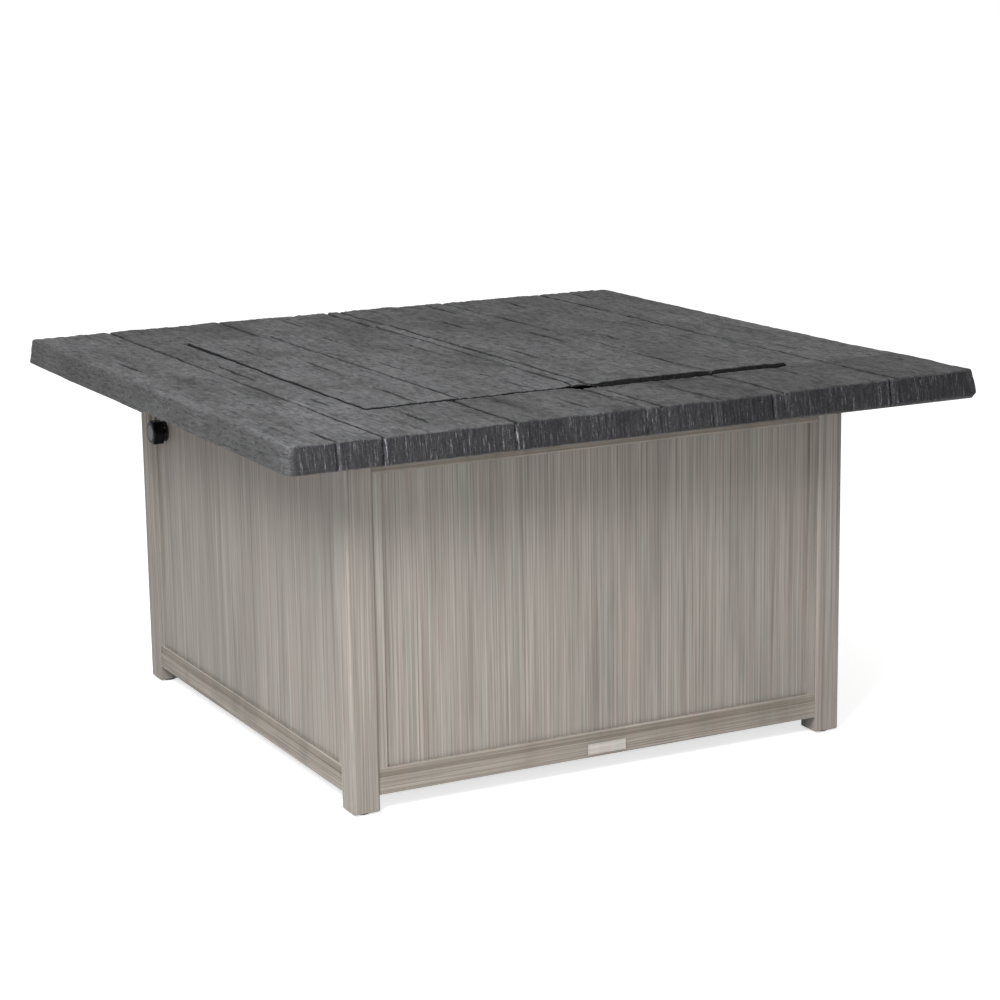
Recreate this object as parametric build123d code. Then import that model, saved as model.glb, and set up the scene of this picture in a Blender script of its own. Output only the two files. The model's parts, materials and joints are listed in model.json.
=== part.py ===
from build123d import *
import math
import os

# Gas fire pit table with its burner cover on.  Millimetres, +Z up.  The origin is on the
# ground under the centre of the table; the front, with the nameplate, faces -Y and the
# control knob is on the -X side.  Every recess below is measured in from the posts' faces.

# ---- table top, one thin-walled casting with a plank pattern ----
TOP_SIDE = 1220.0        # along the lower edge, the widest part
TOP_FLARE = 7.0          # how far the upper edge stands inside the lower one
TOP_THICK = 43.0
TABLE_HEIGHT = 629.0     # ground to top face
TOP_SKIN = 5.0
SKIRT_WALL = 6.0
RIB_WALL = 5.0
RIB_PITCH = 250.0
RIB_LIFT = 8.0           # ribs stop this far above the underside
SEAT_RING = 12.0         # wall under the skin that rests on the top rails
PLANK = 222.0            # width of one cast plank
CENTRE_STRIP = 28.0      # the narrow plank in the middle
GROOVE_WIDTH = 2.4
GROOVE_DEPTH = 1.5
PLANK_JOINTS = [side * (CENTRE_STRIP / 2 + n * PLANK) for n in range(3) for side in (-1, 1)]

# ---- burner cover (the lid) and its seat ----
COVER_SIDE = 774.0
COVER_GAP = 3.0          # slot all round the cover
COVER_PROUD = 3.0        # cover stands above the top face
SEAT_DEPTH = 20.0        # ledge below the top face
LEDGE = 5.0
COVER_SKIN = 5.0
COVER_SKIRT = 5.0
COVER_RIB = 3.0
COVER_RIB_PITCH = 190.0
COVER_RIB_LIFT = 4.0
NOTCH_WIDTH = 46.0       # finger notch in the front edge
NOTCH_DEPTH = 16.0
PAD_R = 8.0
PAD_HEIGHT = 2.0
PAD_INSET = 17.0

# ---- burner pan and what stands in it ----
PAN_OPENING = 612.0
PAN_GAP = 2.0
PAN_FLANGE = 14.0        # flange overlap on the ledge
PAN_SHEET = 1.5
PAN_DEPTH = 76.0
PAN_CORNER_R = 14.0
DRAIN_R = 4.0
LEG_X = 150.0            # burner legs' centre lines from the middle
LEG_HALF = 150.0
TUBE_R = 8.0
TUBE_WALL = 1.2
CROSS_R = 6.5            # tube between the legs
PORT_R = 1.5
PORT_PITCH = 20.0
SADDLE_LIFT = 14.0       # burner centre line above the pan floor
SADDLE = 18.0
HUB_R = 17.0
NIPPLE_R = 9.5
NIPPLE_BORE = 6.0
NIPPLE_TAIL = 6.0        # below the heat shield
LOCKNUT = 6.0            # height of the nut under the pan
GRATE_GAP = 22.0         # pan wall to grate frame centre line
GRATE_LIFT = 30.0        # frame centre line above the pan floor
FRAME_ROD_R = 4.0
BAR_R = 2.5
LEG_INSET = 30.0         # leg to the frame's corner
BAR_PITCH = 27.0
ROCK_THICK = 26.0
ROCK_SETBACK = 12.0      # rock bed edge inside the pan wall
ROCK_CRUST = 8.0
ROCK_CELL = 100.0
ROCK_CELL_WALL = 12.0
ELECTRODE_R = 4.0
ELECTRODE_X = 170.0
ELECTRODE_TOP = 24.0     # above the pan floor
ELECTRODE_TAIL = 12.0    # below the pan floor
SPARK_R = 1.0
SPARK_RISE = 4.0         # wire above the ceramic
SPARK_GAP = 3.0
HOLE_FIT = 0.1           # radial room round things that pass through sheet

# ---- heat shield under the pan ----
SHIELD_DROP = 22.0       # pan underside to shield
SHIELD_SIDE = 580.0
SHIELD_SHEET = 1.2
SHIELD_LIP = 12.0
STUD_INSET = 60.0
STUD_R = 3.0
SPACER_R = 6.0
NUT_HEIGHT = 5.0
NUT_R = 5.8

# ---- base ----
BASE_SIDE = 908.0
POST = 46.0
POST_WALL = 2.0
POST_R = 4.0
POST_CAP = 6.0
POST_LIFT = 4.0          # ground to the end of a post
RAIL_RECESS = 2.5
RAIL_DEPTH = 25.0
RAIL_WALL = 1.8
RAIL_LIFT = 30.0
LOW_RAIL = 28.0
HIGH_RAIL = 30.0
RAIL_R = 1.2
LIP = 15.0               # width of the strips that frame a panel
LIP_RECESS = 4.0
LIP_DEPTH = 10.0
PANEL_RECESS = 9.0
PANEL_SHEET = 2.0
PANEL_FLANGE = 16.0
GUSSET = 110.0
GUSSET_SHEET = 3.0
BOLT_INSET = 42.0        # from the rails' inner faces
BOLT_R = 4.0
BOLT_LENGTH = 16.0
BOLT_HEAD_R = 7.0
BOLT_HEAD = 5.3
BOSS_R = 10.0
FOOT_PAD_R = 13.5
FOOT_GAP = 0.3           # pad to post
FOOT_STEM_R = 4.95
FOOT_BORE_R = 5.0
FOOT_STEM = 30.0
PLATE_WIDTH = 70.0
PLATE_HEIGHT = 18.0
PLATE_THICK = 1.4
PLATE_RIM = 1.6
PLATE_SUNK = 0.6

# ---- access door in the back ----
DOOR_GAP = 3.0
PIN_INSET = 8.0          # door edge to pin axis
PIN_SET = 5.0            # door face to pin axis
PIN_R = 3.0
PIN_FIT = 0.06
PIN_LENGTH = 14.0        # of each pin inside the door
PULL_R = 11.0
PULL_NECK_R = 6.0
PULL_LENGTH = 17.0
PULL_HEAD = 5.0
PULL_INSET = 36.0        # from the door's free edge
MAGNET_WIDTH = 16.0
MAGNET_HEIGHT = 40.0
MAGNET_DEPTH = 14.0
CATCH_SHEET = 1.0

# ---- tank tray ----
TRAY_SHEET = 1.5
TRAY_FLANGE = 20.0
TRAY_VENT_R = 70.0
TRAY_HOLE_R = 12.0
TRAY_HOLE_RING = 250.0
TANK_R = 160.0           # inside of the collar
COLLAR_WALL = 2.0
COLLAR_HEIGHT = 30.0

# ---- valve and knob on the left panel ----
KNOB_Y = 353.0
KNOB_DROP = 105.0        # below the table top's underside
KNOB_FLATS = 40.0
KNOB_LENGTH = 20.0
KNOB_EDGE_R = 2.5
KNOB_FACE_R = 18.5
KNOB_OUT = 28.0          # panel face to knob face
KNOB_HUB_R = 9.0
KNOB_HUB = 2.0
CAP_R = 16.0
CAP_THICK = 1.0
BEZEL_R = 18.0
BEZEL_THICK = 1.5
NECK_R = 8.0
FLANGE_R = 15.0
VALVE_FLANGE = 3.0
VALVE_LENGTH = 40.0
VALVE_HALF = 15.0
STEM_R = 4.0
STEM_FIT = 0.05
STEM_IN_KNOB = 17.0
CHAMBER_BACK = 5.0       # end wall of the spring chamber
CHAMBER_R = 9.3
PLUNGER_R = 9.2
PLUNGER_THICK = 3.0
PLUNGER_SET = 20.0       # valve flange's back face to the plunger
SPRING_R = 6.5
SPRING_WIRE_R = 0.7
SPRING_TURNS = 4
INLET_R = 7.9
INLET_LENGTH = 14.0
INLET_HEX_R = 11.0
INLET_HEX = 8.0
INLET_BORE = 4.0
GAS_TUBE_R = 5.0
GAS_TUBE_WALL = 1.0
GAS_NUT_R = 9.0
GAS_NUT = 12.0
ELBOW_HALF = 11.0
ELBOW_HEIGHT = 14.0
LEAD_R = 1.25
LEAD_ABOVE_TUBE = 7.5

# ---- heights and places worked out from the values above ----
HALF = BASE_SIDE / 2
UNDERSIDE = TABLE_HEIGHT - TOP_THICK
LEDGE_Z = TABLE_HEIGHT - SEAT_DEPTH
SEAT_HALF = COVER_SIDE / 2 + COVER_GAP
TRAY_WALL_HALF = SEAT_HALF + LEDGE
OPEN_HALF = PAN_OPENING / 2
PAN_HALF = OPEN_HALF - PAN_GAP
PAN_FLOOR = LEDGE_Z + PAN_SHEET - PAN_DEPTH + PAN_SHEET
PAN_UNDER = PAN_FLOOR - PAN_SHEET
BURNER_Z = PAN_FLOOR + SADDLE_LIFT
GRATE_Z = PAN_FLOOR + GRATE_LIFT
GRATE_HALF = PAN_HALF - PAN_SHEET - GRATE_GAP
ROCK_Z = GRATE_Z + FRAME_ROD_R
SHIELD_TOP = PAN_UNDER - SHIELD_DROP
SHIELD_Z = SHIELD_TOP - SHIELD_SHEET
NIPPLE_END = SHIELD_Z - NIPPLE_TAIL
ELBOW_Z = NIPPLE_END - ELBOW_HEIGHT
TUBE_Z = ELBOW_Z + ELBOW_HEIGHT / 2
LEAD_Z = TUBE_Z + LEAD_ABOVE_TUBE
POST_INNER = HALF - POST
RAIL_INNER = HALF - RAIL_RECESS - RAIL_DEPTH
LOW_TOP = RAIL_LIFT + LOW_RAIL
HIGH_BOTTOM = UNDERSIDE - HIGH_RAIL
BOLT_AT = RAIL_INNER - BOLT_INSET
FOOT_AT = HALF - POST / 2
PANEL_FACE = HALF - PANEL_RECESS
KNOB_Z = UNDERSIDE - KNOB_DROP
COVER_TOP = TABLE_HEIGHT + COVER_PROUD
COVER_BOTTOM = LEDGE_Z + PAD_HEIGHT
CORNERS = [(sx, sy) for sx in (-1, 1) for sy in (-1, 1)]


def block(x0, x1, y0, y1, z0, z1):
    """Box between two corners."""
    centre = Pos((x0 + x1) / 2, (y0 + y1) / 2, (z0 + z1) / 2)
    return centre * Box(x1 - x0, y1 - y0, z1 - z0)


def square(half, z0, z1):
    """Square block round the table's axis."""
    return block(-half, half, -half, half, z0, z1)


def rod_z(radius, x, y, z0, z1):
    return Pos(x, y, (z0 + z1) / 2) * Cylinder(radius, z1 - z0)


def rod_x(radius, y, z, x0, x1):
    return Pos((x0 + x1) / 2, y, z) * Rot(0, 90, 0) * Cylinder(radius, x1 - x0)


def rod_y(radius, x, z, y0, y1):
    return Pos(x, (y0 + y1) / 2, z) * Rot(90, 0, 0) * Cylinder(radius, y1 - y0)


def hexagon_z(radius, x, y, z0, z1):
    """Hexagonal prism; radius is to its corners."""
    return Pos(x, y, z0) * extrude(RegularPolygon(radius, 6), z1 - z0)


def turned(shape, quarters):
    """Copy turned about the table's axis in quarter turns: 1 takes the front to the right."""
    return Rot(0, 0, 90 * quarters) * shape


def save(name, *solids):
    """One STEP file for each node; a node of repeated pieces holds them as separate solids."""
    shape = solids[0] if len(solids) == 1 else Compound(children=list(solids))
    export_step(shape, f"parts/{name}.step")


def vertical_fillet(shape, radius):
    return fillet(shape.edges().filter_by(Axis.Z), radius)


def plank_grooves(half, top, flat_length):
    """Shallow grooves between the planks, as cutters."""
    cutters = []
    for x in PLANK_JOINTS:
        if abs(x) < half - GROOVE_WIDTH:
            low, high = x - GROOVE_WIDTH / 2, x + GROOVE_WIDTH / 2
            cutters.append(block(low, high, -flat_length, flat_length, top - GROOVE_DEPTH, top + 1))
    return cutters


# ---------------------------------------------------------------- table top
def table_top():
    half = TOP_SIDE / 2
    taper = math.degrees(math.atan(TOP_FLARE / TOP_THICK))
    outer = Pos(0, 0, UNDERSIDE) * extrude(Rectangle(TOP_SIDE, TOP_SIDE), TOP_THICK, taper=taper)
    inner_side = TOP_SIDE - 2 * SKIRT_WALL
    hollow = Pos(0, 0, UNDERSIDE) * extrude(
        Rectangle(inner_side, inner_side), TOP_THICK - TOP_SKIN, taper=taper)
    top = outer - hollow
    skin_z = TABLE_HEIGHT - TOP_SKIN / 2
    top += square(TRAY_WALL_HALF, LEDGE_Z - LEDGE, skin_z)
    seat_mid = HALF - RAIL_RECESS - RAIL_DEPTH / 2
    top += (square(seat_mid + SEAT_RING / 2, UNDERSIDE, skin_z)
            - square(seat_mid - SEAT_RING / 2, UNDERSIDE, skin_z))
    rib_end = half - SKIRT_WALL
    for n in range(-2, 3):
        low, high = n * RIB_PITCH - RIB_WALL / 2, n * RIB_PITCH + RIB_WALL / 2
        top += block(low, high, -rib_end, rib_end, UNDERSIDE + RIB_LIFT, skin_z)
        top += block(-rib_end, rib_end, low, high, UNDERSIDE + RIB_LIFT, skin_z)
    for sx, sy in CORNERS:
        top += rod_z(BOSS_R, sx * BOLT_AT, sy * BOLT_AT, UNDERSIDE, skin_z)
    top -= square(SEAT_HALF, LEDGE_Z, TABLE_HEIGHT + 1)
    top -= square(OPEN_HALF, UNDERSIDE - 1, TABLE_HEIGHT)
    for sx, sy in CORNERS:
        top -= rod_z(BOLT_R, sx * BOLT_AT, sy * BOLT_AT, UNDERSIDE - 1, UNDERSIDE + BOLT_LENGTH)
    top -= plank_grooves(half, TABLE_HEIGHT, half)
    return top


def burner_cover():
    half = COVER_SIDE / 2
    cover = square(half, COVER_BOTTOM, COVER_TOP)
    cover -= square(half - COVER_SKIRT, COVER_BOTTOM - 1, COVER_TOP - COVER_SKIN)
    rib_end = half - COVER_SKIRT / 2
    under = COVER_BOTTOM + COVER_RIB_LIFT
    mid_skin = COVER_TOP - COVER_SKIN / 2
    for n in (-1.5, -0.5, 0.5, 1.5):
        low = n * COVER_RIB_PITCH - COVER_RIB / 2
        high = n * COVER_RIB_PITCH + COVER_RIB / 2
        cover += block(low, high, -rib_end, rib_end, under, mid_skin)
        cover += block(-rib_end, rib_end, low, high, under, mid_skin)
    pad_at = half - PAD_INSET
    for sx, sy in CORNERS:
        cover += rod_z(PAD_R + 2, sx * pad_at, sy * pad_at, COVER_BOTTOM, mid_skin)
    wall = COVER_SKIRT
    notch_half = NOTCH_WIDTH / 2
    cover += block(-notch_half - wall, notch_half + wall, -half, -half + NOTCH_DEPTH + wall,
                   COVER_BOTTOM, mid_skin)
    notch = vertical_fillet(block(-notch_half, notch_half, -half - NOTCH_DEPTH,
                                  -half + NOTCH_DEPTH, COVER_BOTTOM - 1, COVER_TOP + 1), 7)
    cover -= notch
    cover -= plank_grooves(half, COVER_TOP, half)
    return cover


def cover_pads():
    at = COVER_SIDE / 2 - PAD_INSET
    return [rod_z(PAD_R, sx * at, sy * at, LEDGE_Z, COVER_BOTTOM) for sx, sy in CORNERS]


# ---------------------------------------------------------------- burner
def burner_pan():
    rim = LEDGE_Z + PAN_SHEET
    bowl = vertical_fillet(square(PAN_HALF, PAN_UNDER, rim), PAN_CORNER_R)
    bowl += square(OPEN_HALF + PAN_FLANGE, LEDGE_Z, rim)
    hollow = vertical_fillet(square(PAN_HALF - PAN_SHEET, PAN_FLOOR, rim + 1),
                             PAN_CORNER_R - PAN_SHEET)
    bowl -= hollow
    through = (PAN_UNDER - 1, PAN_FLOOR + 1)
    bowl -= rod_z(NIPPLE_R + HOLE_FIT, 0, 0, *through)
    bowl -= rod_z(ELECTRODE_R + HOLE_FIT, ELECTRODE_X, 0, *through)
    for sx, sy in CORNERS:
        stud = PAN_HALF - STUD_INSET
        drain = PAN_HALF - STUD_INSET / 2
        bowl -= rod_z(STUD_R, sx * stud, sy * stud, *through)
        bowl -= rod_z(DRAIN_R, sx * drain, sy * drain, *through)
    return bowl


def burner_tubes():
    """H-shaped burner: two legs joined by a cross tube, with the gas nipple under its hub."""
    def tubes(leg_r, cross_r, end):
        legs = [rod_y(leg_r, side * LEG_X, BURNER_Z, -end, end) for side in (-1, 1)]
        return rod_x(cross_r, 0, BURNER_Z, -LEG_X, LEG_X) + legs

    burner = tubes(TUBE_R, CROSS_R, LEG_HALF)
    burner += rod_z(HUB_R, 0, 0, BURNER_Z - TUBE_R, BURNER_Z + TUBE_R)
    burner += rod_z(NIPPLE_R, 0, 0, NIPPLE_END, BURNER_Z)
    burner -= tubes(TUBE_R - TUBE_WALL, CROSS_R - TUBE_WALL, LEG_HALF - TUBE_WALL)
    burner -= rod_z(NIPPLE_BORE, 0, 0, NIPPLE_END - 1, BURNER_Z)
    ports = int((LEG_HALF - TUBE_R) / PORT_PITCH)
    for n in range(-ports, ports + 1):
        for side in (-1, 1):
            burner -= rod_z(PORT_R, side * LEG_X, n * PORT_PITCH, BURNER_Z, BURNER_Z + TUBE_R + 1)
    return burner


def burner_saddles():
    """Blocks under the ends of the burner's legs, each hollowed to the tube."""
    y = LEG_HALF - SADDLE
    saddles = []
    for sx, sy in CORNERS:
        saddle = block(sx * LEG_X - SADDLE / 2, sx * LEG_X + SADDLE / 2,
                       sy * y - SADDLE / 2, sy * y + SADDLE / 2, PAN_FLOOR, BURNER_Z - TUBE_R / 2)
        saddles.append(saddle - rod_y(TUBE_R, sx * LEG_X, BURNER_Z, -LEG_HALF, LEG_HALF))
    return saddles


def burner_locknut():
    nut = hexagon_z(NIPPLE_R + 7, 0, 0, PAN_UNDER - LOCKNUT, PAN_UNDER)
    return nut - rod_z(NIPPLE_R, 0, 0, PAN_UNDER - LOCKNUT - 1, PAN_UNDER + 1)


def burner_elbow():
    elbow = square(ELBOW_HALF, ELBOW_Z, NIPPLE_END)
    elbow -= rod_z(NIPPLE_BORE, 0, 0, TUBE_Z - GAS_TUBE_R + GAS_TUBE_WALL, NIPPLE_END + 1)
    elbow -= rod_x(GAS_TUBE_R - GAS_TUBE_WALL, 0, TUBE_Z, -ELBOW_HALF - 1, 0)
    return elbow


def burner_grate():
    half = GRATE_HALF
    grate = Pos(-half, -half, GRATE_Z) * Sphere(FRAME_ROD_R)
    for side in (-1, 1):
        grate += rod_x(FRAME_ROD_R, side * half, GRATE_Z, -half, half)
        grate += rod_y(FRAME_ROD_R, side * half, GRATE_Z, -half, half)
    for sx, sy in CORNERS:
        grate += Pos(sx * half, sy * half, GRATE_Z) * Sphere(FRAME_ROD_R)
    bars = int(half / BAR_PITCH - 0.5)
    for n in range(-bars, bars + 1):
        grate += rod_y(BAR_R, n * BAR_PITCH, GRATE_Z, -half, half)
    return grate


def grate_legs():
    """Flat-topped legs under the grate's frame, near its corners."""
    at = GRATE_HALF - LEG_INSET
    top = GRATE_Z - FRAME_ROD_R / 2
    frame = Pos(0, GRATE_HALF, GRATE_Z) * Rot(0, 90, 0) * Cylinder(FRAME_ROD_R, 2 * GRATE_HALF)
    legs = [rod_z(FRAME_ROD_R, s * at, GRATE_HALF, PAN_FLOOR, top) - frame for s in (-1, 1)]
    return legs + [turned(leg, 2) for leg in legs]


def lava_rock():
    """Outer shape of the bed of loose rock, cored from below for the air in it."""
    half = PAN_HALF - PAN_SHEET - ROCK_SETBACK
    bed = vertical_fillet(square(half, ROCK_Z, ROCK_Z + ROCK_THICK), PAN_CORNER_R)
    cells = int((2 * half - ROCK_CELL_WALL) / (ROCK_CELL + ROCK_CELL_WALL))
    first = -(cells - 1) / 2
    for i in range(cells):
        for j in range(cells):
            x = (first + i) * (ROCK_CELL + ROCK_CELL_WALL)
            y = (first + j) * (ROCK_CELL + ROCK_CELL_WALL)
            bed -= block(x - ROCK_CELL / 2, x + ROCK_CELL / 2, y - ROCK_CELL / 2,
                         y + ROCK_CELL / 2, ROCK_Z - 1, ROCK_Z + ROCK_THICK - ROCK_CRUST)
    return bed


def spark_electrode():
    """Ceramic rod with a wire from its tip that points at the near burner leg."""
    sleeve_top = PAN_FLOOR + ELECTRODE_TOP - SPARK_RISE
    body = rod_z(ELECTRODE_R, ELECTRODE_X, 0, PAN_UNDER - ELECTRODE_TAIL, sleeve_top)
    body += rod_z(SPARK_R, ELECTRODE_X, 0, sleeve_top - 1, PAN_FLOOR + ELECTRODE_TOP)
    return body + rod_x(0.8 * SPARK_R, 0, sleeve_top + SPARK_RISE / 2,
                        LEG_X + TUBE_R + SPARK_GAP, ELECTRODE_X)


def electrode_bracket():
    half = ELECTRODE_R + 8
    bracket = block(ELECTRODE_X - half, ELECTRODE_X + half + 14, -half, half,
                    PAN_FLOOR, PAN_FLOOR + PAN_SHEET)
    post = ELECTRODE_X + half + 14
    bracket += block(post - PAN_SHEET, post, -half, half, PAN_FLOOR, PAN_FLOOR + 14)
    return bracket - rod_z(ELECTRODE_R, ELECTRODE_X, 0, PAN_FLOOR - 1, PAN_FLOOR + 4)


# ---------------------------------------------------------------- heat shield
def heat_shield():
    half = SHIELD_SIDE / 2
    shield = square(half, SHIELD_Z, SHIELD_TOP + SHIELD_LIP)
    shield -= square(half - SHIELD_SHEET, SHIELD_TOP, SHIELD_TOP + SHIELD_LIP + 1)
    shield -= rod_z(NIPPLE_R + 4, 0, 0, SHIELD_Z - 1, SHIELD_TOP + 1)
    shield -= rod_z(ELECTRODE_R + 6, ELECTRODE_X, 0, SHIELD_Z - 1, SHIELD_TOP + 1)
    stud = PAN_HALF - STUD_INSET
    for sx, sy in CORNERS:
        shield -= rod_z(STUD_R, sx * stud, sy * stud, SHIELD_Z - 1, SHIELD_TOP + 1)
    return shield


def shield_studs():
    """Threaded rods with a spacer collar between the pan and the shield."""
    at = PAN_HALF - STUD_INSET
    studs = []
    for sx, sy in CORNERS:
        x, y = sx * at, sy * at
        rod = rod_z(STUD_R, x, y, SHIELD_Z - NUT_HEIGHT - 1, PAN_FLOOR + NUT_HEIGHT + 1)
        studs.append(rod + rod_z(SPACER_R, x, y, SHIELD_TOP, PAN_UNDER))
    return studs


def shield_nuts():
    at = PAN_HALF - STUD_INSET
    nuts = []
    for sx, sy in CORNERS:
        for low in (SHIELD_Z - NUT_HEIGHT, PAN_FLOOR):
            nut = hexagon_z(NUT_R, sx * at, sy * at, low, low + NUT_HEIGHT)
            nuts.append(nut - rod_z(STUD_R, sx * at, sy * at, low - 1, low + NUT_HEIGHT + 1))
    return nuts


# ---------------------------------------------------------------- base frame
def post():
    """The post at the front left corner, with a closed foot end."""
    tube = block(-HALF, -POST_INNER, -HALF, -POST_INNER, POST_LIFT, UNDERSIDE)
    tube = vertical_fillet(tube, POST_R)
    tube = fillet(tube.edges().group_by(Axis.Z)[0], POST_CAP / 2)
    inner = block(-HALF + POST_WALL, -POST_INNER - POST_WALL, -HALF + POST_WALL,
                  -POST_INNER - POST_WALL, POST_LIFT + POST_CAP, UNDERSIDE + 1)
    tube -= vertical_fillet(inner, POST_R - POST_WALL)
    return tube - rod_z(FOOT_BORE_R, -FOOT_AT, -FOOT_AT, POST_LIFT - 1, POST_LIFT + POST_CAP + 1)


def rail(low, high):
    """A front rail; the other sides are turned copies."""
    outside = -HALF + RAIL_RECESS
    bar = block(-POST_INNER, POST_INNER, outside, outside + RAIL_DEPTH, low, high)
    bar = fillet(bar.edges().filter_by(Axis.X), RAIL_R)
    return bar - block(-POST_INNER - 1, POST_INNER + 1, outside + RAIL_WALL,
                       outside + RAIL_DEPTH - RAIL_WALL, low + RAIL_WALL, high - RAIL_WALL)


def panel_lip(gap=0.0):
    """Strips that frame a front panel; gap shrinks it for the door."""
    x, low, high = POST_INNER - gap, LOW_TOP + gap, HIGH_BOTTOM - gap
    outside = -HALF + LIP_RECESS
    ring = block(-x, x, outside, outside + LIP_DEPTH, low, high)
    return ring - block(-x + LIP, x - LIP, outside - 1, outside + LIP_DEPTH + 1,
                        low + LIP, high - LIP)


def panel(gap=0.0):
    """Sheet panel with return flanges, inside the strips of the front."""
    x, low, high = POST_INNER - gap - LIP, LOW_TOP + gap + LIP, HIGH_BOTTOM - gap - LIP
    sheet = block(-x, x, -PANEL_FACE, -PANEL_FACE + PANEL_FLANGE, low, high)
    return sheet - block(-x + PANEL_SHEET, x - PANEL_SHEET, -PANEL_FACE + PANEL_SHEET,
                         -PANEL_FACE + PANEL_FLANGE + 1, low + PANEL_SHEET, high - PANEL_SHEET)


def top_gussets():
    """Corner plates under the table top, flush with the rails' upper faces."""
    low, high = UNDERSIDE - GUSSET_SHEET, UNDERSIDE
    edge = RAIL_INNER
    corner = Polyline((edge, edge), (edge - GUSSET, edge), (edge, edge - GUSSET), close=True)
    plate = Pos(0, 0, low) * extrude(make_face(corner), high - low)
    plate -= block(POST_INNER, HALF, POST_INNER, HALF, low - 1, high + 1)
    plate -= rod_z(BOLT_R + HOLE_FIT, BOLT_AT, BOLT_AT, low - 1, high + 1)
    return [turned(plate, n) for n in range(4)]


def top_bolts():
    bolts = []
    under = UNDERSIDE - GUSSET_SHEET
    for sx, sy in CORNERS:
        x, y = sx * BOLT_AT, sy * BOLT_AT
        shank = rod_z(BOLT_R, x, y, under, UNDERSIDE + BOLT_LENGTH - 2)
        bolts.append(shank + hexagon_z(BOLT_HEAD_R, x, y, under - BOLT_HEAD, under))
    return bolts


def foot(sx, sy):
    """Levelling foot: a pad on a threaded stem."""
    x, y = sx * FOOT_AT, sy * FOOT_AT
    top = POST_LIFT - FOOT_GAP
    pad = rod_z(FOOT_PAD_R, x, y, 0, top)
    pad = chamfer(pad.edges().group_by(Axis.Z)[-1], 0.8)
    return pad + rod_z(FOOT_STEM_R, x, y, top - 1, top + FOOT_STEM)


def nameplate():
    """Blank plate with a raised rim on the front lower rail."""
    face = -HALF + RAIL_RECESS
    mid = RAIL_LIFT + LOW_RAIL / 2
    half_w, half_h = PLATE_WIDTH / 2, PLATE_HEIGHT / 2
    plate = block(-half_w, half_w, face - PLATE_THICK, face, mid - half_h, mid + half_h)
    inner = block(-half_w + PLATE_RIM, half_w - PLATE_RIM, face - PLATE_THICK - 1,
                  face - PLATE_THICK + PLATE_SUNK, mid - half_h + PLATE_RIM,
                  mid + half_h - PLATE_RIM)
    return plate - inner


# ---------------------------------------------------------------- access door
DOOR_EDGE = POST_INNER - DOOR_GAP
PIN_X = DOOR_EDGE - PIN_INSET
PIN_Y = HALF - LIP_RECESS - PIN_SET
DOOR_LOW = LOW_TOP + DOOR_GAP
DOOR_HIGH = HIGH_BOTTOM - DOOR_GAP
MAGNET_Z = (DOOR_LOW + DOOR_HIGH) / 2
DOOR_BACK = HALF - LIP_RECESS - LIP_DEPTH


def door_frame():
    frame = turned(panel_lip(DOOR_GAP), 2)
    radius = PIN_R + PIN_FIT
    frame -= rod_z(radius, PIN_X, PIN_Y, DOOR_LOW - 1, DOOR_LOW + PIN_LENGTH + 1)
    frame -= rod_z(radius, PIN_X, PIN_Y, DOOR_HIGH - PIN_LENGTH - 1, DOOR_HIGH + 1)
    return frame


def door_pins():
    return [rod_z(PIN_R, PIN_X, PIN_Y, LOW_TOP - RAIL_WALL, DOOR_LOW + PIN_LENGTH),
            rod_z(PIN_R, PIN_X, PIN_Y, DOOR_HIGH - PIN_LENGTH, HIGH_BOTTOM + RAIL_WALL)]


def door_pull():
    x = -DOOR_EDGE + PULL_INSET
    knob = rod_y(PULL_NECK_R, x, MAGNET_Z, PANEL_FACE, PANEL_FACE + PULL_LENGTH)
    head = rod_y(PULL_R, x, MAGNET_Z, PANEL_FACE + PULL_LENGTH - PULL_HEAD,
                 PANEL_FACE + PULL_LENGTH)
    return knob + fillet(head.edges(), 1.5)


def catch_plate():
    return block(-DOOR_EDGE + 1, -DOOR_EDGE + MAGNET_WIDTH - DOOR_GAP, DOOR_BACK - CATCH_SHEET,
                 DOOR_BACK, MAGNET_Z - MAGNET_HEIGHT / 2, MAGNET_Z + MAGNET_HEIGHT / 2)


def door_magnet():
    face = DOOR_BACK - CATCH_SHEET
    return block(-POST_INNER, -POST_INNER + MAGNET_WIDTH - 1, face - MAGNET_DEPTH, face,
                 MAGNET_Z - MAGNET_HEIGHT / 2, MAGNET_Z + MAGNET_HEIGHT / 2)


# ---------------------------------------------------------------- tank tray
def tank_tray():
    low, high = RAIL_LIFT, RAIL_LIFT + TRAY_SHEET
    tray = square(RAIL_INNER, low, high)
    for n in range(4):
        flange = block(-POST_INNER, POST_INNER, -RAIL_INNER, -RAIL_INNER + TRAY_SHEET,
                       low, low + TRAY_FLANGE)
        tray += turned(flange, n)
    for sx, sy in CORNERS:
        corner = block(POST_INNER, HALF, POST_INNER, HALF, low - 1, low + TRAY_FLANGE + 1)
        tray -= Rot(0, 0, math.degrees(math.atan2(sy, sx)) - 45) * corner
    tray -= rod_z(TRAY_VENT_R, 0, 0, low - 1, high + 1)
    for n in range(8):
        angle = math.pi * (n + 0.5) / 4
        tray -= rod_z(TRAY_HOLE_R, TRAY_HOLE_RING * math.cos(angle),
                      TRAY_HOLE_RING * math.sin(angle), low - 1, high + 1)
    return tray


def tank_collar():
    low = RAIL_LIFT + TRAY_SHEET
    collar = rod_z(TANK_R + COLLAR_WALL, 0, 0, low, low + COLLAR_HEIGHT)
    return collar - rod_z(TANK_R, 0, 0, low - 1, low + COLLAR_HEIGHT + 1)


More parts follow.
